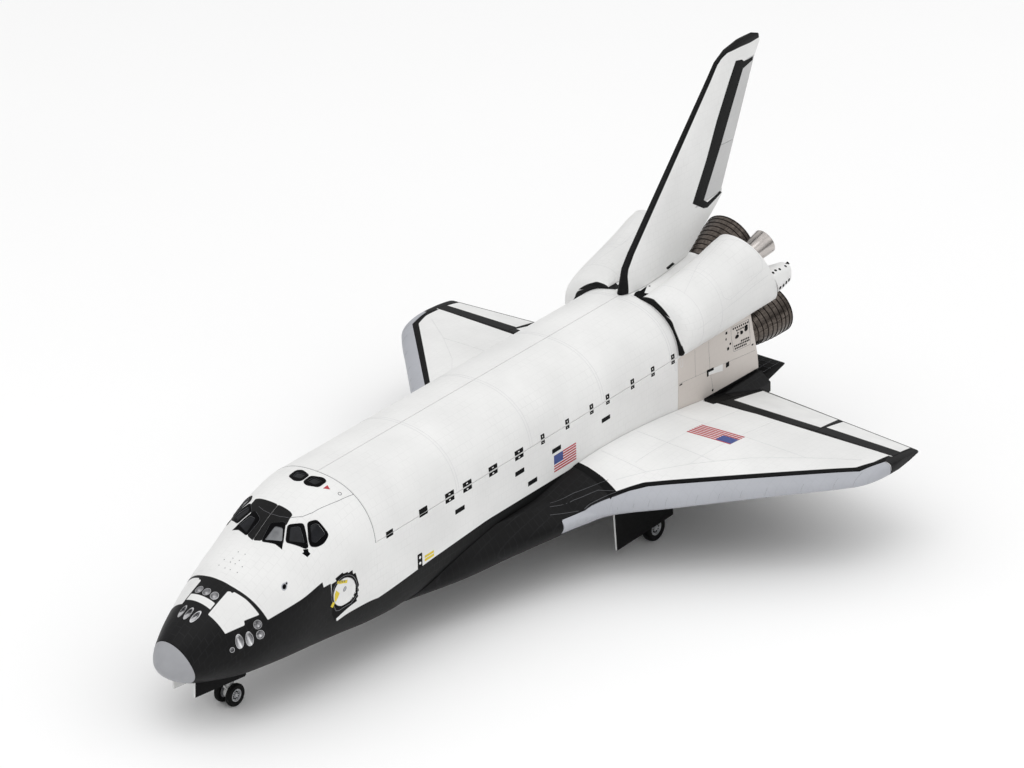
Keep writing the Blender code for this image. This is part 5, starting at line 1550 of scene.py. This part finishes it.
# The wing's stub at its root, as (port, height)
STUB = [(95, 270), (127, 272), (127, 289), (108, 304), (95, 304)]
WING_ROOT = [(1370.9, 107.6), (1370.7, 128), (1385.9, 128.5), (1430, 128), (1430, 107.6)]
EDGE_JOINTS = [(988.7, 167), (1012.7, 179), (1031.6, 194), (1050.5, 211), (1068, 228), (1087, 247),
    (1120, 280), (1144, 304), (1168, 328), (1196, 355), (1236, 394), (1277, 429), (1311, 450)]
WING_PANEL = [(1243.2, 168.8), (1282.5, 169.6), (1288.9, 247.2), (1250.4, 246.4)]


def wing_top(side):
    """A wing's upper skin as a surface: flat spots are (station, port)."""
    def surface(flat, lift=0.0):
        flat = np.asarray(flat, float)
        top, _ = wing_heights(np.clip(flat[:, 1], 80.5, 469.5), flat[:, 0])
        return np.column_stack([flat[:, 0], flat[:, 1] * side, top + lift])
    return surface


def resampled(line, count):
    """A line's spots at even steps."""
    line = np.asarray(line, float)
    reach = np.concatenate([[0.0], np.cumsum(np.linalg.norm(np.diff(line, axis=0), axis=1))])
    share = np.linspace(0, reach[-1], count)
    return np.column_stack([np.interp(share, reach, line[:, column]) for column in (0, 1)])


def strip_of(first, second, count=60, rows=2):
    """Cells between two flat lines that run side by side."""
    first, second = resampled(first, count), resampled(second, count)
    flat = np.concatenate([first + (second - first) * row / rows for row in range(rows + 1)])
    return flat, quads(rows + 1, count, closed=False)


def panel_between(corners, rows, across=(0.0, 1.0)):
    """Cells of stripes across a four-cornered panel; rows are pairs of shares from its first side."""
    return [strip_of(*[[four_way(corners, u, v) for v in across] for u in row], 16, 1) for row in rows]


def plan_of(mesh):
    """A mesh's places, the same as (station, distance from the centre plane), and the wing's heights there."""
    places = places_of(mesh)
    plan = np.column_stack([places[:, 0], np.abs(places[:, 1])])
    return places, plan, sum(wing_heights(np.clip(plan[:, 1], 80, 470), plan[:, 0])) / 2


def wing_fields(mesh):
    """The wing's paint: black below, on the glove, at the root, behind the hinge line, and along the leading edge's
    joint, where it is partly painted shade in the gap.
    """
    places, plan, middle = plan_of(mesh)
    under = np.clip(places[:, 2] - middle, -20, 20)
    # The last outline paints black the strip behind the leading edge and the wing's front wall in the joint: the
    # strip is the wing's own paint, the wall is painted shade in the gap
    outlines = ([(560, 60), *np.array(GLOVE_LINE) - (5.0, 0.0), (1040, 190), (900, 300), (560, 300)],
                [(1362, 450), (1362, 480), (1500, 480), (1500, 456), (1384, 456), (1384, 450)],
                [(1376, 90), (1376, 132), (1600, 132), (1600, 90)], [*EDGE_BACK[1:], *STRIP_LINE[::-1]])
    return painted(plan, np.minimum.reduce([under, *(outside(plan, outline) for outline in outlines)]))


def edge_fields(mesh):
    """The leading edge's paint: grey, black behind its rear line and at both ends."""
    places, plan, middle = plan_of(mesh)
    ahead = outside(plan, [(952, 100), (947, 141), *GREY_LINE, (1360.4, 600), (800, 600), (800, 154.4),
                           (949, 154.4), (952, 149)])
    return painted(plan, np.maximum(-ahead, np.clip(middle - 3.0 - places[:, 2], -20, 20)))


def elevon_fields(mesh):
    """An elevon's paint: all black, under its white top."""
    plan = np.abs(places_of(mesh)[:, :2])
    return painted(plan, np.full(len(plan), -5.0))


class SHUTTLE_OT_wings(bpy.types.Operator):
    """Wings with their black gloves and joints, leading edges and elevons."""
    bl_idname = "shuttle.wings"
    bl_label = "Wings"

    def execute(self, context):
        trail = lambda port, shift: (eased(WING, 3, port) - shift, port)
        stripes = [(row / 13, (row + 1) / 13) for row in range(0, 13, 2)]
        back = lambda shift: [(s + shift, p - shift * 0.6) for s, p in EDGE_BACK]
        edge = lambda shift: [(EDGE_FRONT - shift, 260), (EDGE_FRONT - shift, back(shift)[0][1]), *back(shift),
                              (EDGE_REAR + shift, 520), (1250, 520)]
        boxed = lambda front, inner, outer: [(front, inner), (front, outer), (1600, outer), (1600, inner)]
        for name, side in SIDES.items():
            stub = tube("stub", [[(station, port * side, height) for port, height in STUB]
                                 for station in (1375.0, 1530.0)])
            wing = carved(wing_solid(side), hull_solid(560, 1600, 12.0, -GAP), wing_prism(edge(1.2), side),
                          wing_prism(boxed(HINGE_STATION - GAP, ELEVON_INNER - GAP, ELEVON_OUTER + GAP), side),
                          block((1058, 111 * side, 200), (1211, 166 * side, 300)), adding=[stub])
            add_piece(f"wing_panel_{name}", wing, "satin_acrylic_skin", f"wing_{name}", fields=wing_fields)
            lead = carved(wing_solid(side), within=[wing_prism(edge(0.0), side)])
            add_piece(f"leading_edge_shell_{name}", lead, "edge_acrylic_skin", f"leading_edge_{name}",
                      fields=edge_fields)
            for label, inner, outer in (("inboard", ELEVON_INNER, ELEVON_SPLIT - GAP / 2),
                                        ("outboard", ELEVON_SPLIT + GAP / 2, ELEVON_OUTER)):
                elevon = carved(wing_solid(side), within=[wing_prism(boxed(HINGE_STATION, inner, outer), side)])
                add_piece(f"elevon_{label}_skin_{name}", elevon, "satin_acrylic_skin", f"elevon_{label}_{name}",
                          fields=elevon_fields)

            glove = strip_of(GLOVE_LINE, np.array(GLOVE_LINE) - (14.0, 0.0), 40, 4)
            rim = strip_of([(1034.5, 180.5), *np.array(EDGE_BACK[2:]) + (1.5, -0.9)],
                           np.array(STRIP_LINE) - (0.8, 0.0), 120, 3)
            band = strip_of(BAND_FRONT, [(1385.9, 129.0), (1385.9, 450.4)], 60, 3)
            white = [strip_of([(1414.0, 137.0), (1411.5, 305.5)], [trail(137.0, 4.5), trail(300.5, 3.0)], 40, 10),
                     strip_of([(1419.0, 311.5), (1411.0, 453.6)], [trail(312.0, 3.0), trail(453.0, 3.0)], 40, 10)]
            marks(f"wing_{name}", wing_top(side), ("white_elevons", white, "satin_white_acrylic"),
                  ("black_marks", [glove, rim, band, cells_of(WING_ROOT)], "matt_black_acrylic"),
                  ("faint_seams", [ribbon_of(line, 0.5) for line in WING_SEAMS], "faint_line_wash"),
                  ("glove_seams", [ribbon_of(line, 0.4) for line in GLOVE_SEAMS], "outline_enamel"),
                  ("stripes", panel_between(WING_PANEL, stripes), "red_print"),
                  ("corner", panel_between(WING_PANEL, [(0.05, 0.58)], (0.65, 1.0)), "blue_print"))
            cuts = []
            for station, port in EDGE_JOINTS:
                lead_at = eased(WING, 1, port)
                along = lead_at + 0.3 + (station - lead_at) * np.linspace(0.0, 1.0, 14) ** 2
                out = np.full(14, port)
                upper, lower = wing_heights(out, along)
                over, under = [np.column_stack([along, out * side, height])
                               for height in (upper + 0.02, lower - 0.02)]
                cuts.append(np.concatenate([over[::-1], under]))
            add_piece(f"edge_joints_{name}", piping(cuts, 0.14, "panel_line_wash", 6))
        return {"FINISHED"}


def fin_side(side):
    """A side of the fin as a surface: flat spots are (station, height)."""
    def surface(flat, lift=0.0):
        flat = np.asarray(flat, float)
        out = fin_half(flat[:, 0], flat[:, 1]) + lift
        return np.column_stack([flat[:, 0], out * side, flat[:, 1]])
    return surface


def fin_fields(mesh):
    """The fin's paint: black leading edge and tip."""
    side = places_of(mesh)[:, [0, 2]]
    rows = np.array(FIN)
    lead = np.interp(side[:, 1], rows[:, 0], rows[:, 1])
    wide = np.interp(side[:, 1], [505.0, 530.0, 560.0], [12.0, 6.5, 6.0])
    tip = np.interp(side[:, 0], *np.array(FIN_TIP).T)
    return painted(side, np.minimum((side[:, 0] - lead - wide) * 0.76, tip - side[:, 1]))


# Paint on the fin's sides, as (station, height): the stripe ahead of the rudder, its foot and its head
FIN_MARKS = [[(1480.4, 592.6), (1498.5, 582.5), (1515.3, 585.8), (1565.1, 665.5), (1587.5, 705.5),
    (1627, 774), (1657.2, 778), (1658.5, 784), (1630.3, 785.2), (1622.3, 791), (1604.2, 795.1),
    (1583.5, 765.2), (1549.5, 711.4), (1519.7, 653.9)], [(1480.4, 592.6), (1514, 571.6), (1527.6, 567.5),
    (1571, 577.2), (1567, 581.8), (1526.5, 577.5), (1514.8, 585.8), (1502, 590)], [(1405.4, 509),
    (1412.2, 503.2), (1434.2, 504.2), (1426.3, 510.5)]]
FIN_SEAMS = [[(1572, 675), (1600, 657.5)]]
FIN_TIP = [(1540, 790), (1554.9, 801.4), (1568.6, 810.3), (1584, 814.8), (1617, 814), (1647, 811.3),
    (1673, 811)]


class SHUTTLE_OT_fin(bpy.types.Operator):
    """Fin with its black edges and rudder stripe, and the two rudder panels."""
    bl_idname = "shuttle.fin"
    bl_label = "Fin"

    def execute(self, context):
        low, high, top_rear, low_rear = RUDDER
        room = [(low[0] - GAP, low[1] - GAP), (high[0] - GAP, high[1] + GAP), (1710, high[1] + GAP),
                (1710, low[1] - GAP)]
        add_piece("fin_skin", carved(fin_solid(), prism(room, "side", -30, 30)), "satin_acrylic_skin",
                  "vertical_fin", fields=fin_fields)
        front, rear = RUDDER_SPLIT
        on_hinge = lambda height: (low[0] + (high[0] - low[0]) * (height - low[1]) / (high[1] - low[1]), height)
        for label, outline in (
                ("upper", [on_hinge(front + GAP / 2), high, top_rear, (1700, rear + GAP / 2)]),
                ("lower", [low, on_hinge(front - GAP / 2), (1700, rear - GAP / 2), low_rear])):
            rudder = carved(fin_solid(), within=[prism(outline, "side", -30, 30)])
            add_piece(f"rudder_{label}_skin", rudder, "grey_acrylic_skin", f"rudder_{label}", fields=fin_fields)
        for name, side in SIDES.items():
            marks(f"fin_{name}", fin_side(side),
                  ("black_marks", [cells_of(corners) for corners in FIN_MARKS], "matt_black_acrylic"),
                  ("seams", [ribbon_of(line, 0.4) for line in FIN_SEAMS], "faint_line_wash"))
        return {"FINISHED"}


def pod_fields(mesh):
    """A pod's paint: a black seal along its front edge, where it meets the fuselage."""
    places = np.abs(places_of(mesh))
    round_it = np.arctan2(places[:, 2] - 470.0, places[:, 1] - 70.0) * 62.0
    gap = np.linalg.norm(places - hull(places[:, 0], hull_angle(places)), axis=1)
    seal = np.clip(np.maximum(places[:, 0] - 1313.0, gap - 11.0), -20, 30)
    return painted(np.column_stack([places[:, 0], round_it]), seal)


def pod_skin(side):
    """A pod's skin as a surface: flat spots are (station, share of the way round, from the sill to the top)."""
    def surface(flat, lift=0.0):
        flat = np.asarray(flat, float)
        outer, _ = pod_outline(flat[:, 0], flat[:, 1] / 160)
        middle = np.column_stack([flat[:, 0], np.full((len(flat), 2), (84.0, 470.0))])
        away = outer - middle
        places = outer + away / np.linalg.norm(away, axis=1)[:, None] * lift
        return places * (1, side, 1)
    return surface


# Faint joints on the pods, as (station, inches of 160 round from the sill)
POD_SEAMS = [[(1345, 2), (1345, 158)], [(1392, 2), (1392, 158)], [(1330, 40), (1512, 40)], [(1400, 112),
    (1466, 112), (1474, 104), (1502, 56), (1498, 48), (1412, 46), (1400, 54), (1400, 112)], [(1345, 96),
    (1462, 126)]]


def housing_skin(side):
    """A thruster housing's skin as a surface: flat spots are (station, degrees round from the outer side)."""
    def surface(flat, lift=0.0):
        flat = np.asarray(flat, float)
        size = np.interp(flat[:, 0], *np.array(STINGER).T)
        turn = np.radians(flat[:, 1])
        across, up = [np.sign(part) * np.abs(part) ** 0.6 for part in (np.cos(turn), np.sin(turn))]
        return np.column_stack([flat[:, 0], side * (STINGER_CENTRE[0] + (size * STINGER_HALF[0] + lift) * across),
                                STINGER_CENTRE[1] + (size * STINGER_HALF[1] + lift) * up])
    return surface


# Holes of the housings' thrusters, as (station, degrees round from the outer side), with their radius
HOUSING_HOLES = [([(1548, -17), (1557.5, -16), (1567, -15), (1576, -14)], 2.9), ([(1536, 62), (1545, 68),
    (1554, 60), (1573, 62)], 2.3)]


class SHUTTLE_OT_pods(bpy.types.Operator):
    """Orbital engine pods with their front seals, and their thruster housings."""
    bl_idname = "shuttle.pods"
    bl_label = "Pods"

    def execute(self, context):
        for name, side in SIDES.items():
            pod = carved(tube("pod", pod_rings(side)), prism(pod_rear(0.0), "side", -200, 200))
            add_piece(f"orbital_pod_skin_{name}", pod, "satin_acrylic_skin", f"orbital_engine_pod_{name}",
                      sharp=50.0, fields=pod_fields)
            marks(f"pod_{name}", pod_skin(side),
                  ("seams", [ribbon_of(line, 0.35) for line in POD_SEAMS], "faint_line_wash"))
            skin = housing_skin(side)
            rings = [skin([(station, turn) for turn in np.arange(48) * 7.5])
                     for station in np.linspace(1520, 1584, 18)]
            housing = carved(tube("housing", rings), prism(pod_rear(GAP, True), "side", -200, 200))
            add_piece(f"thruster_housing_skin_{name}", housing, "satin_white_acrylic", f"thruster_housing_{name}",
                      sharp=50.0)
            # The thruster holes are black studs: painted shade where the holes are
            holes = [studs(*facing(skin, spots), radius, 0.4, "black_enamel", 20)
                     for spots, radius in HOUSING_HOLES]
            rear = rod((1578, 119 * side, 474), (1587, 121 * side, 478), 2.8)
            add_piece(f"housing_vents_{name}", joined(*holes, rear), "black_enamel")
        return {"FINISHED"}


def bell_profile(rows, radii, wall, floor):
    """An engine bell's profile: its inside from the floor to the rim, and back along its outside."""
    inner = [(max(along, floor), radius - wall) for along, radius in zip(rows, radii)]
    return [(floor, 0.0), *inner, *zip(rows[::-1], radii[::-1])]


def along_line(gimbal, line, reach):
    """The place at a reach along an engine's thrust line."""
    return np.array(gimbal) + np.array(line) * reach


# How far the hoops lie along a main engine bell
HOOPS = [74, 84, 93.5, 103, 112.5, 122, 131.5, 140.5, 149, 155.6]


class SHUTTLE_OT_main_engines(bpy.types.Operator):
    """Main engine bells with their hoops and feed lines, and their heat shields."""
    bl_idname = "shuttle.main_engines"
    bl_label = "Main engines"

    def execute(self, context):
        throat, rim = MAIN_BELL[0][0], MAIN_BELL[-1][0]
        rows = np.linspace(throat, rim, 30)
        profile = bell_profile(rows, eased(MAIN_BELL, 1, rows), BELL_WALL, throat + BELL_WALL) + [(throat, 0.0)]
        shield_profile = [(MAIN_SHIELD[0][0], 0.0), *MAIN_SHIELD, (MAIN_SHIELD[-1][0], 0.0)]
        for name, (gimbal, pitch, yaw) in MAIN_ENGINES.items():
            line = thrust_line(pitch, yaw)
            add_piece(f"main_bell_{name}", spun(gimbal, line, profile, 96), "burnt_metal_lacquer",
                      f"main_engine_bell_{name}")
            hoops = [circle_at(along_line(gimbal, line, a), line, eased(MAIN_BELL, 1, a), 72) for a in HOOPS]
            add_piece(f"main_bell_hoops_{name}", piping(hoops, sizes("hoop"), "dark_metal_lacquer", closed=True))
            first = Vector(line).orthogonal().normalized()
            second = np.array(Vector(line).cross(first))
            feeds = []
            for turn in np.radians((20, 80, 140, 200, 260, 320)):
                out = np.array(first) * math.cos(turn) + second * math.sin(turn)
                feeds.append([along_line(gimbal, line, a) + out * (eased(MAIN_BELL, 1, a) + 0.1)
                              for a in np.linspace(71.0, 150.0, 24)])
            add_piece(f"main_bell_feeds_{name}", piping(feeds, 0.4, "burnt_metal_lacquer"))
            shield = carved(spun(gimbal, line, shield_profile, 96),
                            prism(base_plane(GAP, True), "side", -160, 160))
            add_piece(f"heat_shield_{name}", shield, "satin_white_acrylic", f"engine_heat_shield_{name}",
                      slot="stone_grey")
        return {"FINISHED"}


class SHUTTLE_OT_orbital_engines(bpy.types.Operator):
    """Orbital engine bells."""
    bl_idname = "shuttle.orbital_engines"
    bl_label = "Orbital engines"

    def execute(self, context):
        rows = np.linspace(10.0, 77.0, 24)
        profile = bell_profile(rows, eased(ORBITAL_BELL, 1, rows), ORBITAL_WALL, 14.0)
        profile += [(-30.0, 9.0), (-30.0, 0.0)]
        for name, (gimbal, pitch, yaw) in ORBITAL_ENGINES.items():
            line = thrust_line(pitch, yaw)
            bell = carved(spun(gimbal, line, profile, 72), prism(pod_rear(GAP, True), "side", -200, 200))
            add_piece(f"orbital_bell_{name}", bell, "steel_lacquer", f"orbital_engine_bell_{name}")
            rings = [circle_at(along_line(gimbal, line, a), line, eased(ORBITAL_BELL, 1, a) - shy, 60)
                     for a, shy in ((24.0, 0.1), (76.6, 0.5))]
            add_piece(f"orbital_bell_rings_{name}", piping(rings, 0.5, "steel_lacquer", closed=True))
        return {"FINISHED"}


def mirror_profile(near):
    """Half a profile, with its other half at minus its distances."""
    return near + [(-along, radius) for along, radius in reversed(near)]


def hub_pair(axle, hub, spacing, width):
    """Two hubs on their axle."""
    out, rim = spacing + width * 0.38, spacing - width * 0.38
    return spun(axle, (0, 1, 0), mirror_profile([
        (out - 0.6, 0.0), (out - 0.2, hub * 0.3), (out - 2.0, hub * 0.35), (out - 2.0, hub * 0.8),
        (out, hub * 0.86), (out, hub), (rim, hub), (rim, AXLE_RADIUS)]), 56)


def tyre(centre, radius, width, hub):
    """A tyre with round shoulders and a flat tread."""
    rows = [(0.8, hub), (0.96, (radius + 2 * hub) / 3), (1.0, (2 * radius + hub) / 3), (0.93, radius * 0.9),
            (0.78, radius * 0.955), (0.55, radius * 0.985), (0.3, radius)]
    return spun(centre, (0, 1, 0), mirror_profile([(width / 2 * share, reach) for share, reach in rows]), 72)


# White inner faces of the gear doors, as (station, height)
NOSE_LINING = [(284.3, 303.5), (385, 303.5), (385, 266), (382, 264.9), (282.1, 279.7)]
MAIN_LINING = [(1060.7, 285.5), (1209, 285.5), (1210.8, 199.8), (1066.7, 201.3)]

# White front edges of the gear doors, as (station, height)
NOSE_RIM = [(283.6, 303), (284.6, 303), (282.2, 279.2), (281.2, 279.2)]
MAIN_RIM = [(1060, 285), (1060.8, 285), (1066.6, 201.4), (1065.8, 201.4)]


class SHUTTLE_OT_landing_gear(bpy.types.Operator):
    """Legs with their links, gear doors, wheels and tyres."""
    bl_idname = "shuttle.landing_gear"
    bl_label = "Landing gear"

    def execute(self, context):
        for name, ((station, port, height), *_) in GEAR.items():
            node = f"{name}_leg"
            add_piece(f"{node}_strut", merged_copy(node), "satin_white_acrylic", node, sharp=30.0)
            collars = [circle_at((station, port, height + rise), (0, 0, 1), LEG_RADIUS + 0.2, 32)
                       for rise in (12.0, 16.0, 30.0)]
            brace = [[(station - 4.0, port + out, height + 7.0), (station - 11.0, port, height + 17.0),
                      (station - 4.4, port + out, height + 28.0)] for out in (-2.6, 2.6)]
            hose = [[(station + 3.6, port + 3.4, height + 6.0), (station + 6.2, port + 4.0, height + 18.0),
                     (station + 4.0, port + 3.0, height + 34.0)]]
            add_piece(f"{name}_collars", piping(collars, 0.8, "silver_lacquer", closed=True))
            add_piece(f"{name}_links", piping(brace, 1.1, "satin_white_acrylic"))
            add_piece(f"{name}_hose", piping(hose, sizes("hose"), "moulded_rubber"))
        for node in [f"{leg}_gear_door_{name}" for leg in ("nose", "main") for name in SIDES]:
            add_piece(f"{node}_panel", rounded(merged_copy(node), 0.6), "matt_black_acrylic", node)
        linings = []
        for side in SIDES.values():
            for lining, rim, out in ((NOSE_LINING, NOSE_RIM, 19.25), (MAIN_LINING, MAIN_RIM, 162.05)):
                linings += [prism(lining, "side", side * (out - 0.25), side * (out + 0.1)),
                            prism(rim, "side", side * (out + 0.1), side * (out + 2.8))]
        add_piece("gear_door_linings", joined(*linings), "satin_white_acrylic")
        for (name, (axle, radius, width, spacing)), body in zip(
                GEAR.items(), ("nose_wheels", "main_wheels_port", "main_wheels_starboard")):
            hub = radius * 0.55
            add_piece(f"{name}_hubs", hub_pair(axle, hub, spacing, width), "silver_lacquer", f"{name}_wheel_hubs",
                      body=body)
            # The hub holes are black studs: painted shade where the holes through the hubs are
            out = spacing + width * 0.38 - 1.9
            holes = [np.array(axle) + (hub * 0.58 * math.cos(turn), side * out, hub * 0.58 * math.sin(turn))
                     for side in (-1, 1) for turn in np.arange(10) * 2 * math.pi / 10]
            facings = np.repeat([(0.0, -1.0, 0.0), (0.0, 1.0, 0.0)], 10, axis=0)
            add_piece(f"{name}_hub_holes", studs(np.array(holes), facings, hub * 0.13, 0.5, "black_enamel"),
                      slot="tyre_rubber", body=body)
            for label, side in SIDES.items():
                rubber = tyre(np.array(axle) + (0, spacing * side, 0), radius, width, hub + GAP)
                add_piece(f"{name}_tyre_{label}_rubber", rubber, "moulded_rubber", f"{name}_tyre_{label}",
                          body=body)
        return {"FINISHED"}


# Studio: sky brightness at the horizon and overhead, and soft lamps with place, size and power
SKY_LOW = 0.25
SKY_HIGH = 0.95
LIGHTS = [("key", (0.3, -0.9, 2.1), 1.8, 11.0), ("side", (1.7, -0.5, 0.9), 2.0, 3.0),
          ("rear", (0.6, 1.7, 1.2), 1.8, 3.2)]

# Camera: azimuth, elevation and roll in degrees, the spot it looks at as (port, station, height), its distance, and
# its focal length as a share of the film's width
VIEW_TURN = (39.563, 26.835, -1.926)
VIEW_SPOT = (46.12, 970, 493.03)
VIEW_DISTANCE = 5334.8
FILM = 36.0
FOCUS = 3557.6 / 1024

# Half the floor's side, in metres
FLOOR_HALF = 6.0


class SHUTTLE_OT_stage(bpy.types.Operator):
    """Camera, pale floor and soft studio lights."""
    bl_idname = "shuttle.stage"
    bl_label = "Stage"

    def execute(self, context):
        azimuth, elevation, roll = (math.radians(angle) for angle in VIEW_TURN)
        back = np.array([math.sin(azimuth) * math.cos(elevation), -math.cos(azimuth) * math.cos(elevation),
                         math.sin(elevation)])
        right = np.array([math.cos(azimuth), math.sin(azimuth), 0.0])
        up = np.cross(right, -back)
        axes = (math.cos(roll) * right + math.sin(roll) * up, math.cos(roll) * up - math.sin(roll) * right, back)
        pose = Matrix(np.column_stack([TURN @ axis for axis in axes]).tolist()).to_4x4()
        pose.translation = Vector(TURN @ (np.array(VIEW_SPOT) + back * VIEW_DISTANCE) * INCH + SHIFT)
        camera = link("camera", bpy.data.cameras.new("camera"))
        camera.data.sensor_width = FILM
        camera.data.lens = FOCUS * FILM
        camera.data.clip_start = 0.01
        camera.matrix_world = pose
        context.scene.camera = camera

        bm = bmesh.new()
        bmesh.ops.create_grid(bm, x_segments=1, y_segments=1, size=FLOOR_HALF)
        mesh = bpy.data.meshes.new("floor")
        bm.to_mesh(mesh)
        bm.free()
        mesh.materials.append(finish_of("floor_paper"))
        link("floor", mesh)

        studio = bpy.data.worlds.new("studio")
        context.scene.world = studio
        studio.use_nodes = True
        tree = studio.node_tree
        way = add_node(tree, "ShaderNodeTexCoord", out="Generated")
        rise = add_node(tree, "ShaderNodeSeparateXYZ", {"Vector": way}, out="Z")
        glow = add_node(tree, "ShaderNodeMapRange", {"Value": rise, "From Min": -0.05, "From Max": 0.75,
                                                     "To Min": SKY_LOW, "To Max": SKY_HIGH}, out="Result",
                        interpolation_type="SMOOTHSTEP")
        sky = tree.nodes["Background"]
        sky.inputs["Color"].default_value = linear("#ffffff")
        tree.links.new(glow, sky.inputs["Strength"])
        context.scene.view_settings.view_transform = "Standard"
        for label, place, size, power in LIGHTS:
            lamp = link(label, bpy.data.lights.new(label, "AREA"))
            lamp.data.energy = power
            lamp.data.size = size
            lamp.location = place
            lamp.rotation_euler = (Vector((0, 0, 0.1)) - Vector(place)).to_track_quat("-Z", "Y").to_euler()
        return {"FINISHED"}


OPERATORS = [SHUTTLE_OT_stage, SHUTTLE_OT_nose, SHUTTLE_OT_cabin, SHUTTLE_OT_payload_bay, SHUTTLE_OT_aft_fuselage,
             SHUTTLE_OT_wings, SHUTTLE_OT_fin, SHUTTLE_OT_pods, SHUTTLE_OT_main_engines,
             SHUTTLE_OT_orbital_engines, SHUTTLE_OT_landing_gear]


class SHUTTLE_PT_panel(bpy.types.Panel):
    """Lists the pieces of the shuttle model."""
    bl_idname = "SHUTTLE_PT_panel"
    bl_label = "Shuttle"
    bl_space_type = "VIEW_3D"
    bl_region_type = "UI"
    bl_category = "Shuttle"

    def draw(self, context):
        for operator in OPERATORS:
            self.layout.operator(operator.bl_idname)
        for group in (context.scene.shuttle_sizes, context.scene.shuttle_paints):
            for name in group.__annotations__:
                self.layout.prop(group, name)


CLASSES = [SHUTTLE_PG_paints, SHUTTLE_PG_sizes, *OPERATORS, SHUTTLE_PT_panel]


def register():
    for kind in CLASSES:
        bpy.utils.register_class(kind)
    bpy.types.Scene.shuttle_paints = bpy.props.PointerProperty(type=SHUTTLE_PG_paints)
    bpy.types.Scene.shuttle_sizes = bpy.props.PointerProperty(type=SHUTTLE_PG_sizes)


def unregister():
    del bpy.types.Scene.shuttle_sizes, bpy.types.Scene.shuttle_paints
    for kind in reversed(CLASSES):
        bpy.utils.unregister_class(kind)


def main():
    register()
    for operator in OPERATORS:
        group, name = operator.bl_idname.split(".")
        getattr(getattr(bpy.ops, group), name)()


if __name__ == "__main__":
    main()
